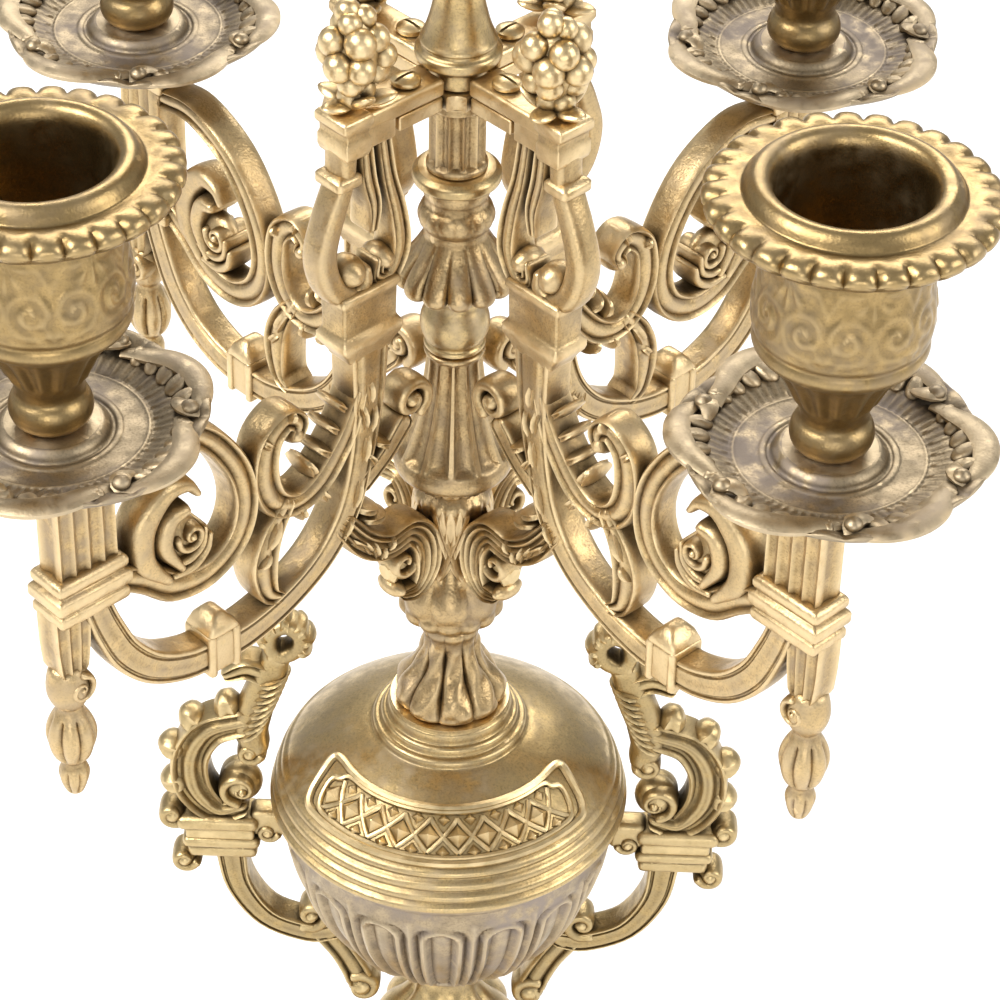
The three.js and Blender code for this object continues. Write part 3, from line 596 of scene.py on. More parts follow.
for x, z, r in ((48.6, 89.0, 3.0), (31.8, 85.8, 2.4), (46.8, 78.4, 2.8), (34.6, 104.4, 2.7)):
    handle_parts.append(spiral(x, z, r * 0.78, 1.15, 200, r * 0.38, 5.8))
    handle_parts.append(boss(x, z, r * 0.74, 6.6))
for x, z, degrees in ((45.6, 96.6, -8), (45.8, 103.4, 18), (42.8, 109.0, 46), (37.6, 111.6, 72)):
    handle_parts.append(flat_petal(x, z, degrees, 5.2, 5.4, 6.0))
for k in range(8):
    share = k / 7
    handle_parts.append(flat_petal(37.2 - 3.6 * share, 106.8 + 13.0 * share, 142 + 18 * share,
                                   7.8 - share, 2.1, 7.2))
for degrees in (200, 160, 120, 80, 40, -10):
    around = math.radians(degrees)
    handle_parts.append(flat_petal(28.0 + 2.0 * math.cos(around), 129.8 + 2.0 * math.sin(around),
                                   degrees + 24, 3.4, 3.0, 6.2))
handle_right = join("cast_handle_right", handle_parts)
# drawn against a bowl of this radius and level, then moved to where the bowl is
drawn_bowl_r, drawn_bowl_low = 29.3, 59.0
outward, upward = bowl_r - drawn_bowl_r, bowl_low - drawn_bowl_low
handle_right.data.transform(Matrix.Translation((outward * MM, 0, upward * MM)))
handle_left = handle_right.copy()
handle_left.data = handle_right.data.copy()
handle_left.name = "cast_handle_left"
bpy.context.collection.objects.link(handle_left)
handle_left.data.transform(Matrix.Rotation(math.pi, 4, "Z"))
# colours: edge wear with a painted highlight, face, painted shade for the recesses and pits, dust
handle_brass = antique_brass("handle_brass", (0.68, 0.52, 0.27), (0.37, 0.26, 0.112), (0.09, 0.06, 0.025),
                             (0.31, 0.24, 0.14), 0.36, 0.45, 0.65)
for side, handle in (("right", handle_right), ("left", handle_left)):
    hand_in(handle, "handle_" + side, "base", handle_brass)

# ---- Stacked column ----
# Separate castings threaded on the tie rod: a lobed trumpet foot, a leafy knop that takes the arms'
# lower screws, a fluted bell, a ball, a gadrooned cap, a flange ring and a fluted shaft. A capital
# and a vase baluster follow above the hub.
def stacked(name, node, line, sides, relief=None, lift=None):
    """Turns one piece of the stack from heights above its own underside, and works its relief."""
    low, high = levels(node)
    line = with_bore(rod_bore, rounded(line))
    drawn = max(z for _, z in line)
    piece = turn_on_lathe(name, [(r, low + z * (high - low) / drawn) for r, z in line], sides)
    if relief:
        rise = (lambda turn, r, z: lift(turn, r, z - low)) if lift else None
        press(piece, lambda turn, r, z: relief(turn, r, z - low), rise)
    return piece


def foot_lobes(turn, r, z):
    """Nine worn leaves with a vein down each."""
    deep = np.interp(z, [0, 1, 4, 8, 12, 16], [0.5, 1.0, 1.3, 0.9, 0.5, 0.2])
    vein = 0.35 * np.exp(-((np.abs((turn * 9 / math.tau) % 1 - 0.5)) / 0.07) ** 2) * between(z, 2, 11, 1)
    worn = 0.25 * np.sin(turn * 5 + z * 0.6) + 0.18 * np.sin(turn * 13 - z)
    return (-deep * lobes(turn, 9) - vein + worn * between(z, 1.5, 12, 1)) * (r > 4.2)


trumpet_line = [(9.0, 0), (9.5, 0.3), (9.7, 1.6), (9.2, 3.2), (8.2, 4.8), (6.9, 6.4), (5.8, 8.2),
                (5.0, 10.2), (4.6, 12.6), (4.7, 14.2), (5.1, 15.0), (5.0, 15.8), (4.6, 16.3)]
trumpet = stacked("trumpet_foot", "column_foot", trumpet_line, 144, foot_lobes)
hand_in(trumpet, "column_foot", "crown", cast)

knop_low, knop_top = levels("leaf_knop")


def knop_lobes(turn, r, z):
    """Beads below, eight broad leaves, and fine grooves up the neck."""
    beads = np.abs(np.sin(turn * 7)) * between(z, 2.2, 4.4, 0.9)
    leaf = lobes(turn, 8, 0.8) * between(z, 6.0, 11.0, 2.0)
    groove = lobes(turn, 16, 0.7) * between(z, 13, 27, 2)
    return (0.55 * beads - 0.9 * leaf - 0.35 * groove) * (r > 4.0)


knop_line = [(4.9, 0), (5.6, 0.4), (5.9, 1.4), (7.4, 2.2), (8.4, 3.4), (8.4, 4.6), (8.9, 5.2), (9.3, 6.8),
             (9.1, 8.6), (8.0, 10.6), (6.6, 12.6), (5.6, 15.0), (5.2, 18.0), (5.4, 22.0), (6.2, 25.4),
             (6.6, 27.4), (5.8, 28.4), (4.9, 29.4)]
knop = stacked("leafy_knop", "leaf_knop", knop_line, 168, knop_lobes)
knop_parts = [knop]
for facing in range(4):
    side = Matrix.Rotation(facing * math.pi / 2, 4, "Z")
    for off, long, wide in ((0, 23.0, 3.6), (-16, 20.5, 2.6), (16, 20.5, 2.6), (-30, 17.5, 2.2),
                            (30, 17.5, 2.2)):
        lean = math.radians(off)
        on_neck = Matrix.Translation((6.0 - abs(off) * 0.012, 0, knop_top - 1.4))
        root = side @ Matrix.Rotation(lean, 4, "Z") @ on_neck
        point_down = Matrix.Rotation(math.radians(97), 4, "Y") @ Matrix.Rotation(math.pi / 2, 4, "X")
        swing = Matrix.Rotation(-lean * 0.55, 4, "X")
        knop_parts.append(petal(root @ swing @ point_down, long, wide, 3.6))
knop = join("leafy_knop", knop_parts)
hand_in(knop, "leaf_knop", "crown", cast)


def bell_flutes(turn, r, z):
    """Twelve flutes over a ring of small beads."""
    across = np.abs((turn * 12 / math.tau) % 1 - 0.5) * 2
    hollow = np.sqrt(np.clip(1 - (across / 0.78) ** 2, 0, 1)) * between(z, 7.6, 25.4, 1.2)
    deep = np.interp(z, [7, 12, 20, 27], [1.15, 1.0, 0.6, 0.4])
    beads = 0.35 * np.abs(np.sin(turn * 12)) * between(z, 0.8, 2.0, 0.6)
    return (-hollow * deep + beads) * (r > 3.8)


bell_line = [(5.0, 0), (6.4, 0.5), (7.0, 1.4), (7.0, 2.0), (8.8, 2.7), (9.7, 3.8), (9.9, 5.2), (9.4, 6.3),
             (9.2, 7.0), (8.4, 8.6), (7.5, 10.8), (6.6, 13.4), (5.7, 16.6), (5.0, 20.0), (4.6, 23.6),
             (4.4, 25.6), (5.0, 26.2), (4.8, 26.8), (4.3, 27.0)]
bell = stacked("fluted_bell", "bell_baluster", bell_line, 144, bell_flutes)
hand_in(bell, "bell_baluster", "crown", cast)

ball_line = [(4.1, 0), (4.9, 0.2), (5.0, 0.9), (4.5, 1.4), (5.2, 2.4), (5.6, 4.2), (5.5, 6.0), (4.7, 7.6),
             (4.2, 8.6), (4.3, 9.6), (4.6, 10.2), (4.4, 11.0)]
ball = stacked("neck_ball_turned", "neck_ball", ball_line, 96)
hand_in(ball, "neck_ball", "crown", turned)


def cap_lobes(turn, r, z):
    """Thirteen folds that die out upwards, and a leafy ring."""
    deep = np.interp(z, [0, 1.2, 3.0, 5, 7.5, 9.6, 10.4], [0.5, 1.3, 1.3, 0.75, 0.35, 0.1, 0])
    leaf = 0.15 * lobes(turn, 14, 0.8) * between(z, 12.6, 15.2, 0.8)
    return (-deep * lobes(turn, 13, 0.42) - leaf) * (r > 4.0)


def cap_scallops(turn, r, z):
    """Lifts the edge of the cap between its folds."""
    return 0.9 * lobes(turn, 13, 0.5) * between(z, 0.2, 2.0, 1.0) * (r > 6)


cap_line = [(4.6, 0), (6.6, 0.3), (8.6, 0.6), (9.6, 1.4), (9.7, 2.5), (9.0, 4.0), (7.9, 5.6), (6.6, 7.4),
            (5.6, 9.2), (5.0, 10.2), (5.1, 10.8), (5.0, 11.4), (5.5, 12.0), (6.0, 12.8), (6.1, 14.0),
            (5.6, 15.2), (4.9, 15.8), (4.8, 16.8), (5.2, 17.6), (5.4, 18.6), (5.2, 19.3)]
cap = stacked("umbrella_cap", "gadrooned_cap", cap_line, 156, cap_lobes, cap_scallops)
hand_in(cap, "gadrooned_cap", "crown", cast)

flange_line = [(5.4, 0), (6.2, 0.1), (6.9, 0.6), (7.0, 1.3), (6.9, 2.0), (6.3, 2.5), (6.0, 2.7)]
flange = stacked("flange_ring_turned", "flange_ring", flange_line, 96)
hand_in(flange, "flange_ring", "crown", turned)


def reeds(turn, deep):
    """Twelve hollows side by side round a drum, with narrow ridges between them."""
    return -deep * np.abs(np.cos(turn * 6)) ** 0.7


shaft_r = 4.5
shaft_line = [(shaft_r + 0.3, 0), (shaft_r + 0.3, 0.7), (shaft_r, 1.0), (shaft_r, 3.0), (shaft_r, 6.0),
              (shaft_r, 9.0), (shaft_r, 10.7), (shaft_r + 0.2, 11.0), (shaft_r + 0.2, 12.3)]
shaft = stacked("reeded_shaft", "fluted_shaft", shaft_line, 120,
                lambda turn, r, z: reeds(turn, 0.75) * between(z, 1.4, 10.6, 0.5) * (r > 3.5))
hand_in(shaft, "fluted_shaft", "crown", cast)

capital_line = [(4.3, 0), (4.3, 2.8), (5.6, 3.4), (6.5, 4.0), (6.7, 4.8), (6.6, 5.6), (5.9, 6.0),
                (5.7, 6.5), (6.0, 7.0), (5.5, 7.8), (4.9, 9.4), (4.3, 11.6), (3.8, 14.0), (3.7, 16.0),
                (4.4, 16.8), (4.5, 17.6), (4.0, 18.2), (4.2, 19.4), (4.6, 20.4)]
capital = stacked("bell_capital", "capital", capital_line, 96)
hand_in(capital, "capital", "crown", turned)

vase_line = [(4.8, 0), (5.8, 0.2), (6.1, 1.0), (5.6, 1.8), (4.4, 2.6), (4.4, 3.4), (5.4, 5.4), (6.8, 8.6),
             (7.6, 11.6), (7.5, 13.8), (6.5, 16.8), (5.0, 19.6), (4.1, 21.6), (4.2, 22.6), (5.2, 23.2),
             (5.2, 24.0), (4.6, 24.6), (5.4, 25.6), (7.0, 26.8), (7.6, 27.8), (7.6, 29.6)]
vase = stacked("vase_baluster_turned", "vase_baluster", vase_line, 120,
               lambda turn, r, z: -0.6 * lobes(turn, 14) * between(z, 6, 13.5, 2) * (r > 4))
hand_in(vase, "vase_baluster", "crown", turned)

# ---- Arms ----
# Four flat brass castings. Each is screwed to the hub by its beam and to the knop by its lower
# bracket, and carries a post with a collar and a pendant under its pan.
knee = knop_low + (knop_top - knop_low) * 0.61
capital_low, _ = levels("capital")
drawn_knee, drawn_beam, drawn_reach = 153.0, 241.8, 78.5
rise = (capital_low - knee) / (drawn_beam - drawn_knee)
pan_low, _ = levels("pan_front_right")
pan_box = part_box("pan_front_right")
reach = math.hypot((pan_box[0].x + pan_box[1].x) / 2, (pan_box[0].y + pan_box[1].y) / 2) / MM
hub_r = 6.4
stretch = (reach - hub_r) / (drawn_reach - hub_r)


def ax(x):
    """Distance from the column of a point of the drawn arm."""
    return hub_r + (x - hub_r) * stretch


def az(z):
    """Level of a point of the drawn arm."""
    return knee + (z - drawn_knee) * rise


def arm_points(points):
    """The points of a strand, moved from the drawn arm to the real one."""
    return [(ax(x), az(z), w) for x, z, w in points]


def tiers(middle, line, thick, wear=0.28):
    """A squared moulding: each tier is a half length, how much thicker than the arm, and a level."""
    bpy.ops.object.select_all(action="DESELECT")
    bpy.ops.mesh.primitive_plane_add(size=2)
    part = bpy.context.object
    half, more, z = line[0]
    size = Matrix.Diagonal((half * MM, (thick / 2 + more) * MM, 1, 1))
    part.data.transform(Matrix.Translation((middle * MM, 0, z * MM)) @ size)
    bpy.ops.object.mode_set(mode="EDIT")
    bpy.ops.mesh.select_all(action="SELECT")
    for (h0, m0, z0), (h1, m1, z1) in zip(line, line[1:]):
        bpy.ops.mesh.extrude_region_move(TRANSFORM_OT_translate={"value": (0, 0, (z1 - z0) * MM)})
        widen = (h1 / h0, (thick / 2 + m1) / (thick / 2 + m0), 1)
        bpy.ops.transform.resize(value=widen, center_override=(middle * MM, 0, z1 * MM))
    bpy.ops.mesh.select_all(action="SELECT")
    bpy.ops.mesh.normals_make_consistent(inside=False)
    bpy.ops.object.mode_set(mode="OBJECT")
    trim = part.modifiers.new("worn edges", "BEVEL")
    trim.width = wear * MM
    trim.segments = 2
    trim.limit_method = "ANGLE"
    trim.angle_limit = math.radians(40)
    bpy.context.view_layer.objects.active = part
    bpy.ops.object.modifier_apply(modifier=trim.name)
    return part


REEDS = reeded(4, 0.26)
NARROW_REEDS = reeded(3, 0.26)
RIDGES = section([(1.0, 0.5), (0.95, 0.9), (0.84, 1.0), (0.70, 0.84), (0.60, 0.76), (0.48, 0.96),
                  (0.36, 0.92), (0.24, 0.74), (0.12, 0.84)], 0.98)
beam_low, beam_top = az(238.6), az(245.0)
post_in, post_out, post_top = reach - 8.8, reach + 2.9, az(209.7)
post_mid, post_half = (post_in + post_out) / 2, (post_out - post_in) / 2
collar = az(180.4)
pendant_x = reach + 0.7
arm_parts = [
    # beam lapped over the hub, with its moulded end
    block(15.0, ax(24.4), 5.8, beam_low + 0.3, beam_top - 1.0, 0.5),
    block(5.4, ax(24.4), 6.2, beam_top - 2.9, beam_top, 0.7),
    tiers(ax(22.8), [(2.2, 0.3, beam_low - 0.2), (2.5, 0.5, beam_low + 0.8), (2.5, 0.5, beam_low + 2.6),
                     (2.2, 0.3, beam_low + 3.2), (2.2, 0.3, beam_top - 2.1), (2.9, 0.6, beam_top - 1.3),
                     (2.9, 0.6, beam_top + 0.1), (2.2, 0.2, beam_top + 0.5)], 5.8, 0.5),
    # lyre
    strand(arm_points([(23.4, 240.0, 1.8), (23.9, 234.0, 1.7), (26.3, 227.8, 1.9), (27.9, 221.6, 2.1),
                       (26.4, 215.8, 2.1), (22.8, 212.8, 1.8), (20.2, 214.2, 1.3), (20.2, 216.8, 0.9)]),
           ROUND, 5.0, 6),
    strand(arm_points([(17.0, 240.0, 1.4), (15.8, 232.0, 1.5), (13.9, 224.4, 1.8), (13.3, 218.0, 1.9),
                       (15.4, 213.8, 1.6), (18.0, 214.6, 1.1), (17.8, 217.4, 0.8)]), MOULDED, 5.0, 6),
    strand(arm_points([(20.4, 240.0, 1.3), (19.8, 233.4, 1.5), (18.6, 227.8, 1.3), (19.0, 223.6, 0.9)]),
           MOULDED, 4.8, 4),
    tiers(ax(24.0), [(1.9, -0.2, az(232.8)), (2.5, 0.4, az(233.6)), (2.5, 0.4, az(234.8)),
                     (1.9, -0.2, az(235.6))], 5.2, 0.7),
    boss(ax(22.6), az(216.8), 2.7, 6.8),
    boss(ax(16.2), az(216.8), 2.1, 6.2),
    # moulded block under the lyre
    tiers(ax(20.1), [(4.2, -0.2, az(200.8)), (4.4, 0.0, az(201.6)), (5.0, 0.3, az(202.6)),
                     (5.9, 0.7, az(203.8)), (6.1, 0.8, az(204.4)), (6.1, 0.8, az(205.4)),
                     (5.6, 0.2, az(206.2)), (5.4, 0.0, az(206.8)), (5.5, 0.1, az(211.8)),
                     (6.0, 0.4, az(212.6)), (6.0, 0.4, az(213.4)), (5.2, 0.0, az(213.9))], 5.4, 0.45),
    # stem and bow
    strand(arm_points([(20.0, 202.0, 3.9), (20.4, 192.0, 3.3), (21.9, 182.0, 2.7), (24.5, 173.0, 2.6),
                       (29.6, 166.0, 2.5), (37.0, 161.3, 2.5), (44.8, 158.9, 2.6), (52.0, 158.6, 2.7)]),
           LINED, 5.4, 6),
    strand(arm_points([(50.0, 158.6, 2.7), (57.0, 159.2, 2.8), (64.0, 162.4, 2.8), (69.2, 168.0, 2.8),
                       (72.4, 174.8, 2.7), (74.6, 181.4, 2.5)]), LINED, 5.2, 6),
    # knuckle on the bow, with a rib at each edge and a pointed top
    block(ax(51.0) - 2.4, ax(51.0) + 2.4, 6.0, az(155.0), az(162.6), 0.9),
    block(ax(51.0) - 3.2, ax(51.0) - 1.6, 6.8, az(154.6), az(163.0), 0.75),
    block(ax(51.0) + 1.6, ax(51.0) + 3.2, 6.8, az(154.6), az(163.0), 0.75),
    tiers(ax(51.0), [(2.9, 0.6, az(162.2)), (3.0, 0.7, az(163.0)), (2.2, 0.3, az(164.4)),
                     (0.9, -1.0, az(166.0))], 5.2, 0.7),
    # collar, post and lower post
    tiers(post_mid, [(5.8, 0.2, collar), (6.5, 0.8, collar + 0.5), (6.5, 0.8, collar + 2.2),
                     (5.8, 0.3, collar + 2.7), (6.9, 1.2, collar + 3.4), (6.9, 1.2, collar + 5.4),
                     (5.8, 0.3, collar + 6.0), (6.5, 0.8, collar + 6.5), (6.5, 0.8, collar + 8.0),
                     (5.8, 0.2, collar + 8.6)], 5.8, 0.75),
    strand([(post_mid, collar + 8.0, post_half - 0.5), (post_mid, collar + 16, post_half - 0.5),
            (post_mid, post_top - 3.2, post_half - 0.5)], REEDS, 5.8, 2),
    tiers(post_mid, [(5.3, -0.2, post_top - 3.4), (6.0, 0.3, post_top - 2.6), (6.2, 0.5, post_top - 0.8),
                     (5.8, 0.2, post_top)], 5.8, 0.5),
    strand([(pendant_x - 0.2, collar + 0.6, 3.2), (pendant_x - 0.1, collar - 5, 3.0),
            (pendant_x, collar - 9.4, 2.5)], NARROW_REEDS, 5.4, 2),
    # C scroll
    strand(arm_points([(70.6, 205.8, 1.9), (62.4, 206.4, 2.1), (53.2, 201.8, 2.2), (47.2, 193.6, 2.3),
                       (45.2, 185.6, 2.4), (47.2, 179.0, 2.6), (52.8, 175.4, 2.7), (59.2, 176.2, 2.8),
                       (64.6, 180.4, 2.6), (69.8, 183.6, 2.1)]), MOULDED, 5.4, 6),
    # its leafy eye: a core, curled lobes lapped over it and ridges following the scroll
    boss(ax(58.0), az(183.8), 4.4, 5.0),
    strand(arm_points([(61.0, 178.4, 1.0), (65.0, 183.8, 2.2), (64.8, 190.0, 2.5), (60.6, 194.6, 2.0),
                       (56.6, 194.4, 1.2), (54.8, 192.2, 0.7)]), ROUND, 6.4, 5),
    strand(arm_points([(58.6, 179.8, 0.8), (61.4, 185.0, 1.6), (60.2, 189.4, 1.7), (57.2, 190.4, 1.1)]),
           ROUND, 7.0, 5),
    spiral(ax(56.4), az(184.8), 2.7, -1.25, 10, 0.85, 6.6),
    boss(ax(56.4), az(184.8), 1.2, 7.4),
    strand(arm_points([(52.8, 183.4, 0.6), (53.6, 180.6, 0.9), (56.4, 178.6, 1.0), (60.0, 178.8, 0.7)]),
           ROUND, 6.2, 5),
    strand(arm_points([(53.8, 185.4, 0.5), (54.4, 182.2, 0.8), (56.8, 180.6, 0.9), (59.4, 180.8, 0.6)]),
           ROUND, 6.4, 5),
    # S scroll with its hooked tip
    strand(arm_points([(35.2, 192.2, 1.2), (34.3, 194.8, 1.7), (37.0, 196.4, 2.1), (40.4, 193.4, 2.5),
                       (41.2, 187.0, 2.7), (39.2, 181.8, 2.5), (34.8, 179.6, 2.3), (29.8, 181.6, 2.5),
                       (24.8, 187.8, 2.1), (22.0, 194.6, 1.3)]), MOULDED, 5.6, 6),
    boss(ax(34.8), az(192.6), 1.8, 6.4),
    # leaf drop from the S scroll to the bow
    strand(arm_points([(37.2, 180.6, 1.6), (40.4, 176.0, 2.4), (42.0, 170.4, 2.8), (41.2, 164.6, 1.9),
                       (38.8, 162.6, 1.0)]), MOULDED, 5.6, 5),
    # upper volute towards the column
    strand(arm_points([(21.4, 176.0, 1.9), (16.6, 179.6, 1.9), (12.6, 184.0, 2.0)]), LINED, 5.0, 4),
    spiral(ax(10.9), az(187.4), 3.7, -1.4, -120, 1.2, 5.4),
    boss(ax(10.9), az(187.4), 1.8, 6.2),
    # ridged lower bracket hugging the knop
    strand(arm_points([(25.8, 170.2, 2.2), (21.0, 163.8, 2.6), (16.0, 160.6, 2.6), (11.0, 160.8, 2.7),
                       (7.9, 157.0, 2.9), (7.6, 151.6, 2.8), (9.8, 148.4, 2.1), (12.6, 148.6, 1.3)]),
           RIDGES, 6.0, 6),
    spiral(ax(12.2), az(154.6), 3.3, 1.2, 130, 1.0, 5.0),
    boss(ax(13.4), az(149.4), 1.6, 6.2),
]
# pendant: a bulb with a volute on each side, a leafy bud and a small tip
pendant_line = rounded([(0, -35.6), (1.0, -35.6), (1.7, -34.6), (2.4, -32.6), (2.5, -31.0), (1.7, -29.4),
                        (1.8, -28.6), (3.0, -27.6), (3.9, -25.2), (4.1, -22.8), (3.2, -20.0), (2.0, -18.2),
                        (2.0, -17.4), (2.8, -16.6), (3.5, -14.4), (3.2, -11.6), (2.6, -9.6), (0, -9.2)])
pendant = turn_on_lathe("pendant", pendant_line, 56)


def bud_lobes(turn, r, z):
    """Seven leaves round the bud and round the tip."""
    deep = 0.75 * between(z, -27, -20, 1.2) + 0.4 * between(z, -34.4, -31, 0.8)
    return -deep * lobes(turn, 7) * (r > 1)


press(pendant, bud_lobes)
pendant.data.transform(Matrix.Translation((pendant_x * MM, 0, collar * MM)))
eye_x, eye_z = pendant_x - 0.4, collar - 13.2
arm_parts += [pendant, spiral(eye_x, eye_z, 2.5, 1.3, 100, 0.75, 7.0), boss(eye_x, eye_z, 0.9, 7.4)]
# leaf lobes: root x and z, direction, length, width
for x, z, degrees, long, wide in ((36.6, 195.4, 112, 3.2, 2.2), (40.0, 192.8, 52, 3.0, 2.2),
                                  (31.4, 182.6, 70, 4.6, 2.4), (27.8, 185.4, 40, 4.8, 2.2),
                                  (26.2, 189.0, 42, 4.2, 2.0), (24.8, 192.4, 48, 3.6, 1.8),
                                  (30.6, 179.8, -120, 3.8, 2.4), (34.4, 178.8, -96, 3.6, 2.2),
                                  (38.2, 179.4, -62, 8.4, 3.0), (40.6, 173.4, -52, 4.6, 2.4),
                                  (20.4, 197.4, -92, 7.4, 2.6), (19.0, 192.6, -80, 8.6, 2.2),
                                  (22.0, 193.4, -98, 8.2, 2.2), (20.6, 187.6, -82, 9.0, 2.4),
                                  (21.8, 179.8, -76, 9.6, 2.2), (23.4, 172.4, -60, 7.0, 2.0),
                                  (23.0, 171.4, -158, 6.0, 2.2), (22.0, 168.4, -170, 6.4, 2.0),
                                  (24.8, 166.6, -136, 6.4, 2.2), (22.2, 165.2, -120, 5.6, 2.2),
                                  (19.6, 163.8, -100, 5.2, 2.2), (17.2, 162.2, -78, 4.6, 2.2),
                                  (14.8, 162.8, -60, 4.2, 2.0), (18.6, 178.4, 60, 4.2, 2.0),
                                  (15.4, 181.4, 20, 3.8, 2.0)):
    arm_parts.append(flat_petal(ax(x), az(z), degrees, long, wide, 7.0))
arm = join("arm_pattern", arm_parts)
corners = (("front_left", 225), ("front_right", 315), ("back_right", 45), ("back_left", 135))


def copy_round(piece, name, degrees, out=0.0, up=0.0):
    """A copy with its own mesh, moved out and up and then turned about the column."""
    twin = bpy.data.objects.new(name, piece.data.copy())
    bpy.context.collection.objects.link(twin)
    swing = Matrix.Rotation(math.radians(degrees), 4, "Z")
    twin.data.transform(swing @ Matrix.Translation((out * MM, 0, up * MM)))
    return twin


# colours: edge wear with a painted highlight, face, painted shade for the recesses and pits, dust
arm_brass = antique_brass("arm_brass", (0.80, 0.61, 0.34), (0.50, 0.35, 0.165), (0.13, 0.085, 0.035),
                          (0.45, 0.345, 0.225), 0.37, 0.5, 0.7)
for where, degrees in corners:
    cast_arm = copy_round(arm, "cast_arm_" + where, degrees)
    hand_in(cast_arm, "arm_" + where, "crown", arm_brass, 42)
bpy.data.objects.remove(arm)

# ---- Grapes ----
# A bunch of berries on a leaf, cast in one piece and pegged into each beam.
grape_low = beam_top + 0.8
scatter = np.random.default_rng(7)
berries = []
for level, ring, count, size in ((2.2, 1.3, 3, 1.9), (5.0, 2.9, 4, 2.2), (8.2, 4.0, 5, 2.4),
                                 (11.4, 3.2, 4, 2.3), (14.4, 1.5, 3, 2.0)):
    for k in range(count):
        turn = math.tau * (k + (level % 2) * 0.5) / count + scatter.uniform(-0.3, 0.3)
        bpy.ops.mesh.primitive_uv_sphere_add(segments=16, ring_count=10, radius=1)
        berry = bpy.context.object
        for v in berry.data.vertices:
            v.co.z *= 1.06 if v.co.z > 0 else 0.98
        plump = size * scatter.uniform(0.86, 1.1)
        off = ring * scatter.uniform(0.85, 1.1)
        height = grape_low + level + scatter.uniform(-0.6, 0.6)
        spot = Matrix.Translation((off * math.cos(turn), off * math.sin(turn), height))
        berry.data.transform(Matrix.Scale(MM, 4) @ spot @ Matrix.Scale(plump, 4))
        berries.append(berry)
core_line = ((0, 0), (1.8, 0), (1.9, 2.4), (3.4, 6), (3.6, 10), (1.8, 14), (0, 15))
core = turn_on_lathe("core", [(r, grape_low + z) for r, z in core_line], 24)
leaves = []
for k in range(5):
    root = Matrix.Rotation(k * math.tau / 5, 4, "Z") @ Matrix.Translation((1.2, 0, grape_low + 0.4))
    droop = math.radians(-38 if k % 2 else -10)
    lie = Matrix.Rotation(droop, 4, "Y") @ Matrix.Rotation(math.pi / 2, 4, "X")
    leaves.append(petal(root @ lie, 5.2, 4.0, 1.6))
grapes = join("grapes", [core] + berries + leaves)
# colours: edge wear with a painted highlight, face, painted shade for the recesses and pits, dust
rubbed = antique_brass("rubbed_brass", (0.86, 0.67, 0.38), (0.60, 0.43, 0.20), (0.16, 0.11, 0.05),
                       (0.50, 0.39, 0.25), 0.33, 0.35, 0.6)
for where, degrees in corners:
    bunch = copy_round(grapes, "grape_bunch_" + where, degrees, ax(20.6))
    hand_in(bunch, "grapes_" + where, "crown", rubbed)
bpy.data.objects.remove(grapes)

# ---- Drip pans ----
# Five cast dishes: a turned ring and a plain disc, a band of fine radial cuts, and a rim of long
# C-shaped lips with leaves between them. Each sits on its post and turns on the stud.
pan_line = rounded([(7.0, 0), (7.0, 2.2), (8.2, 3.0), (13.6, 3.3), (18.4, 4.6), (21.4, 6.4), (22.3, 7.3),
                    (22.2, 8.0), (21.2, 8.0), (19.6, 7.2), (18.0, 6.5), (17.2, 6.5), (14.6, 5.3),
                    (13.9, 5.4), (13.4, 5.2), (10.4, 5.0), (9.9, 5.3), (9.3, 5.3), (8.9, 5.0), (8.4, 5.2),
                    (8.1, 6.0), (7.4, 6.6), (6.9, 6.7)])


lips = 6


def pan_wave(turn, r, z):
    """The edge swings out under each lip."""
    return 0.5 * np.sin(turn * lips + 0.8) * between(r, 20.6, 99, 1.5)


def pan_cuts(turn, r, z):
    """Fine radial cuts round the floor and small leaves up to the rim, on the upper face only."""
    top = z > np.interp(r, [7, 13.6, 18.4, 21.4, 22.4], [4.2, 4.4, 5.5, 7.0, 7.6])
    hatch = np.abs(np.sin(turn * 36 + 0.12 * r)) * between(r, 14.4, 17.8, 0.6) * top
    leaf = lobes(turn, 26, 0.8) * between(r, 18.6, 21.8, 0.8) * top
    return -0.26 * hatch - 0.6 * leaf


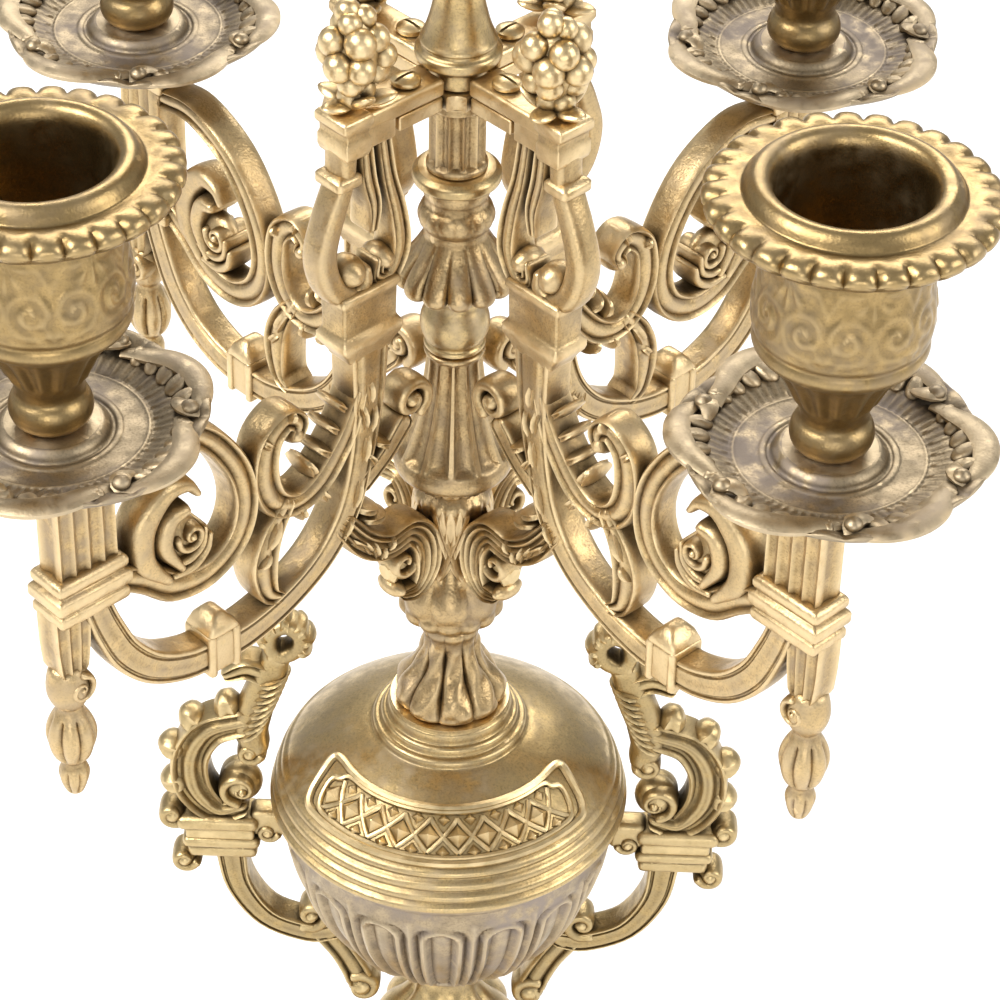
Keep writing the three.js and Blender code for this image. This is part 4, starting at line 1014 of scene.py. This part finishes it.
def build_pan(hole):
    """One pan with its lips, leaves and knobs, drawn on the column's axis."""
    pan = turn_on_lathe("pan", with_bore(hole, pan_line), 252)
    press(pan, pan_wave, pan_cuts)
    on_edge = Matrix.Rotation(math.pi / 2, 4, "X")
    parts = [pan]
    for k in range(lips):
        start = math.tau * k / lips
        points = [(18.2, start + 0.20, 7.2, 0.6), (18.1, start + 0.12, 7.7, 1.0),
                  (18.9, start + 0.04, 7.9, 1.3)]
        for n in range(15):
            share = n / 14
            turn = start + share * math.tau / lips * 0.98
            swell = math.sin(math.pi * min(1.0, share * 1.15 + 0.12)) ** 0.8
            r = 19.4 + 2.6 * swell - 6.0 * max(0, share - 0.8)
            z = 7.1 + 0.8 * math.sin(math.pi * share) - 0.3 * share
            points.append((r, turn, z, 1.75 * math.sin(math.pi * (0.12 + 0.76 * share)) ** 0.8))
        line = through([(r * math.cos(t), r * math.sin(t), z, w) for r, t, z, w in points], 2)
        parts.append(lip_bar(line))
        for off, long, wide in ((0.16, 4.6, 2.8), (0.32, 5.4, 3.2), (0.48, 5.4, 3.2), (0.64, 4.8, 2.8),
                                (0.80, 3.8, 2.4)):
            root = Matrix.Rotation(start + off * math.tau / lips, 4, "Z") @ Matrix.Translation((17.2, 0, 6.3))
            lie = Matrix.Rotation(0.5, 4, "Z") @ Matrix.Rotation(-0.30, 4, "Y") @ on_edge
            parts.append(petal(root @ lie, long, wide, 1.9))
        knob = boss(0, 0, 1.35, 2.2)
        knob_spot = Matrix.Rotation(start + 0.03, 4, "Z") @ Matrix.Translation((19.6 * MM, 0, 8.0 * MM))
        knob.data.transform(knob_spot @ on_edge)
        parts.append(knob)
    return join("pan", parts)


def lip_bar(line):
    """A soft rounded lip, swept through points that each carry their half width."""
    spots = []
    way = np.gradient(line[:, :3], axis=0)
    for (x, y, z, w), h in zip(line, way):
        ahead = Vector(h).normalized()
        across = ahead.cross(Vector((0, 0, 1))).normalized()
        up = across.cross(ahead)
        w = max(w, 0.3)
        across, up = across * w * 1.25, up * w * 0.55
        spots.append(Matrix(((across.x, up.x, ahead.x, x), (across.y, up.y, ahead.y, y),
                             (across.z, up.z, ahead.z, z), (0, 0, 0, 1))))
    part = sweep(10, spots)
    part.data.transform(Matrix.Scale(MM, 4))
    return part


# colours: edge wear with a painted highlight, face, painted shade for the recesses and pits, dust
dusty = antique_brass("pan_patina", (0.62, 0.49, 0.31), (0.30, 0.233, 0.145), (0.10, 0.075, 0.045),
                      (0.255, 0.21, 0.17), 0.44, 0.95, 0.5)
pan_pattern = build_pan(rod_bore)
for where, degrees in corners:
    pan = copy_round(pan_pattern, "drip_pan_" + where, 20)
    swing = Matrix.Rotation(math.radians(degrees), 4, "Z")
    pan.data.transform(swing @ Matrix.Translation((reach * MM, 0, pan_low * MM)))
    hand_in(pan, "pan_" + where, "pan_body_" + where, dusty, 46)
pan = copy_round(pan_pattern, "drip_pan_centre", 0, 0, levels("pan_centre")[0])
hand_in(pan, "pan_centre", "pan_body_centre", dusty, 46)
bpy.data.objects.remove(pan_pattern)

# ---- Candle cups ----
# Five turned cups with a gadrooned flange, a rolled lip, engraved scrolls round the body and a
# ball foot. Each screws down on its stud and clamps its pan.
cup_low, _ = levels("cup_front_right")
candle_r = 11.0
body_low, body_high = 21.2, 34.6
cup_line = rounded([(4.4, 0), (5.2, 0.3), (6.0, 1.4), (6.2, 2.9), (5.7, 4.4), (5.0, 5.2), (4.9, 6.2),
                    (5.2, 7.2), (5.8, 8.6), (7.4, 12.2), (8.8, 14.8), (10.2, 16.4), (11.4, 17.2),
                    (12.2, 17.9), (12.6, 18.8), (12.5, 19.7), (12.2, 20.3), (12.4, 20.9)])
for share in np.linspace(0, 1, 28):
    r = float(np.interp(share, [0, 0.15, 0.35, 0.6, 0.85, 1.0], [12.6, 12.9, 12.8, 12.3, 11.9, 11.9]))
    cup_line.append((r, body_low + (body_high - body_low) * float(share)))
cup_line += rounded([(12.0, 35.2), (13.2, 36.2), (15.8, 37.6), (18.2, 39.0), (20.0, 40.2), (20.8, 41.2),
                     (20.7, 42.4), (19.8, 43.2), (18.0, 43.4), (16.4, 43.1), (15.4, 43.0), (15.1, 43.5),
                     (14.7, 44.2), (14.0, 44.9), (13.2, 45.2), (12.3, 45.0), (11.6, 44.5), (11.1, 43.3),
                     (candle_r, 42.0), (candle_r, 34.0), (candle_r, 24.0), (candle_r, 22.0), (10.4, 21.9),
                     (0, 21.9)])
cup_base = [(0, 10.6), (2.3, 10.6), (2.3, 0)]
gadroons = 28


def flange_edge(turn, r, z):
    """How far round from the middle of its gadroon a point is, how near to a notch, and whether it is
    on the flange at all."""
    across = np.abs((turn * gadroons / math.tau) % 1 - 0.5) * 2
    notch = np.exp(-((1 - across) / 0.2) ** 2)
    return across, notch, between(r, 16.6, 99, 1.0) * between(z, 38.0, 44, 1.0)


def cup_lift(turn, r, z):
    """Rounds the top of each gadroon and sinks the notches between them."""
    across, notch, edge = flange_edge(turn, r, z)
    over = np.clip((r - 16.9) / 2.4, 0, 1)
    return np.where(z > 41.6, -0.5 * across ** 2 - 0.3 * notch, 0.1 * notch) * edge * over


def cup_relief(turn, r, z):
    """Scalloped flange, engraved scrolls, palms and sprigs mirrored in six pairs, and a reeded cone."""
    across, notch, edge = flange_edge(turn, r, z)
    out = (-0.35 * across ** 4 - 0.4 * notch) * edge * np.clip((r - 18.4) / 1.8, 0, 1)
    cell = np.abs((turn * 6 / math.tau) % 1 - 0.5) * 2 * 6.6
    rise_up = z - (body_low + body_high) / 2
    dx, dz = cell - 3.5, rise_up + 1.2
    far, way = np.hypot(dx, dz), np.arctan2(dz, dx)
    curl = np.cos(math.tau * far / 2.3 - way) * np.exp(-(far / 3.9) ** 4)
    leaf_x, leaf_z = cell - 0.2, rise_up - 5.6
    leaf_far, leaf_way = np.hypot(leaf_x, leaf_z), np.arctan2(leaf_z, leaf_x)
    palm = np.cos(leaf_way * 7) * np.exp(-((leaf_far - 2.8) / 2.1) ** 2)
    sprig = np.cos((cell - 5.8) * 2.4 + rise_up * 1.6) * np.exp(-((cell - 5.6) / 1.6) ** 2) * 0.7
    engraved = np.clip(0.16 * curl + 0.13 * palm + 0.12 * sprig, -0.16, 0.14)
    engraved = engraved * between(z, body_low + 0.8, body_high - 0.6, 0.8) * (r > 11.4)
    cone = 0.28 * np.cos(turn * 16) * between(z, 9.0, 15.4, 1.5) * (r > 6)
    return out + engraved + cone


cup_pattern = turn_on_lathe("cup", cup_base + cup_line, gadroons * 8)
press(cup_pattern, cup_relief, cup_lift)
# colours: edge wear with a painted highlight, face, painted shade for the recesses and pits, dust
cup_brass = antique_brass("cup_brass", (0.60, 0.44, 0.22), (0.345, 0.235, 0.098), (0.20, 0.14, 0.065),
                          (0.30, 0.225, 0.135), 0.34, 0.5, 0.4)
for where, degrees in corners:
    cup = copy_round(cup_pattern, "candle_cup_" + where, degrees, reach, cup_low)
    hand_in(cup, "cup_" + where, "cup_body_" + where, cup_brass, 46)
cup = copy_round(cup_pattern, "candle_cup_centre", 0, 0, levels("cup_centre")[0])
hand_in(cup, "cup_centre", "cup_body_centre", cup_brass, 46)
bpy.data.objects.remove(cup_pattern)

# ---- Hub, rod, studs and screws ----
# The hub is a fluted brass drum with a lug under each beam, and a slotted brass screw goes down
# through each lap. The rod, studs, nut, washer and handle screws are plain steel, and the screws
# into the knop are brass.
# colours: edge wear with a painted highlight, face, painted shade for the recesses and pits, dust
steel = antique_brass("dull_steel", (0.52, 0.51, 0.49), (0.34, 0.33, 0.31), (0.12, 0.115, 0.11),
                      (0.36, 0.33, 0.29), 0.36, 0.4, 0.2)
hub_low, hub_high = levels("arm_hub")
drum = turn_on_lathe("fluted_hub", with_bore(rod_bore, [(5.7, hub_low), (5.9, hub_low + 0.3),
                                                        (5.9, hub_high - 0.3), (5.7, hub_high)]), 120)
press(drum, lambda turn, r, z: reeds(turn, 0.7) * (r > 4))
drum_parts = [drum]
for where, degrees in corners:
    lug = block(5.2, 14.0, 4.8, hub_low, hub_high, 0.35)
    lug.data.transform(Matrix.Rotation(math.radians(degrees), 4, "Z"))
    drum_parts.append(lug)
hand_in(join("fluted_hub", drum_parts), "arm_hub", "crown", arm_brass)
for where, degrees in corners:
    low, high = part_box("lap_screw_" + where)
    out_along = math.hypot(low.x + high.x, low.y + high.y) / 2 / MM
    under_head = high.z / MM - 1.3
    profile = [(0, low.z / MM), (1.25, low.z / MM), (1.25, under_head), (2.2, under_head),
               (2.3, under_head + 0.2), (2.2, under_head + 0.7), (1.6, under_head + 1.1),
               (0.8, under_head + 1.25), (0, under_head + 1.3)]
    screw = turn_on_lathe("lap_screw_pattern", profile, 40)
    slot_cutter = block(-3, 3, 0.55, under_head + 0.75, under_head + 2, 0.05)
    cut = screw.modifiers.new("slot", "BOOLEAN")
    cut.object = slot_cutter
    bpy.ops.object.select_all(action="DESELECT")
    bpy.context.view_layer.objects.active = screw
    bpy.ops.object.modifier_apply(modifier=cut.name)
    bpy.data.objects.remove(slot_cutter)
    screw.name = "slotted_screw_" + where
    swing = Matrix.Rotation(math.radians(degrees), 4, "Z")
    screw.data.transform(swing @ Matrix.Translation((out_along * MM, 0, 0)))
    hand_in(screw, "lap_screw_" + where, "crown", turned)
for name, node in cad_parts.items():
    if name.startswith(("stud_", "handle_screw_", "base_", "tie_rod")):
        finish = steel
    elif name.startswith("knee_screw_"):
        finish = turned
    else:
        continue
    node.data.materials.clear()
    node.data.materials.append(finish)

# ---- Floor, light and camera ----
# A plain pale table top, a large soft lamp from the upper left, a wide one on the right and a
# low fill, as in a small product studio.
bpy.ops.object.select_all(action="DESELECT")
bpy.ops.mesh.primitive_plane_add(size=12, location=(0, 0, -0.0002))
floor = bpy.context.object
floor.name = "studio_floor"
paper = bpy.data.materials.new("pale_paper")
paper.use_nodes = True
paper_shader = paper.node_tree.nodes["Principled BSDF"]
paper_shader.inputs["Base Color"].default_value = (0.93, 0.93, 0.93, 1)
paper_shader.inputs["Roughness"].default_value = 0.9
floor.data.materials.append(paper)


def soft_lamp(name, place, aim, size, power, colour=(1, 1, 1)):
    """An area lamp at a place, aimed at a point."""
    bpy.ops.object.light_add(type="AREA", location=place)
    lamp = bpy.context.object
    lamp.name = name
    lamp.data.shape = "RECTANGLE"
    lamp.data.size, lamp.data.size_y = size
    lamp.data.energy = power
    lamp.data.color = colour
    lamp.rotation_euler = (Vector(aim) - Vector(place)).to_track_quat("-Z", "Y").to_euler()


middle = (0, 0, 0.17)
soft_lamp("key_lamp", (-0.9, -0.5, 1.3), middle, (1.0, 0.8), 26)
soft_lamp("side_lamp", (1.2, -0.3, 0.9), middle, (0.7, 1.0), 10)
soft_lamp("back_lamp", (0.1, 1.2, 1.1), middle, (1.4, 0.5), 14)
soft_lamp("front_lamp", (0.1, -1.5, 0.5), middle, (1.0, 0.3), 5)
world = bpy.data.worlds.new("studio_air")
world.use_nodes = True
world.node_tree.nodes["Background"].inputs["Color"].default_value = (0.80, 0.82, 0.86, 1)
world.node_tree.nodes["Background"].inputs["Strength"].default_value = 0.55
bpy.context.scene.world = world
bpy.context.scene.view_settings.view_transform = "Standard"

elevation, yaw, roll = math.radians(38.4), math.radians(0.9), math.radians(1.38)
level = math.cos(elevation)
back = Vector((math.sin(yaw) * level, -math.cos(yaw) * level, math.sin(elevation)))
right = Vector((math.cos(yaw), math.sin(yaw), 0))
up = back.cross(right)
leaning_right = right * math.cos(roll) + up * math.sin(roll)
leaning_up = up * math.cos(roll) - right * math.sin(roll)
bpy.ops.object.camera_add()
camera = bpy.context.object
camera.data.sensor_width = 36
camera.data.lens = 128.9
camera_place = (0.01505, -0.46113, 0.52626)
facing = Matrix((leaning_right, leaning_up, back)).transposed().to_4x4()
camera.matrix_world = Matrix.Translation(camera_place) @ facing
bpy.context.scene.camera = camera

bpy.ops.object.select_all(action="DESELECT")
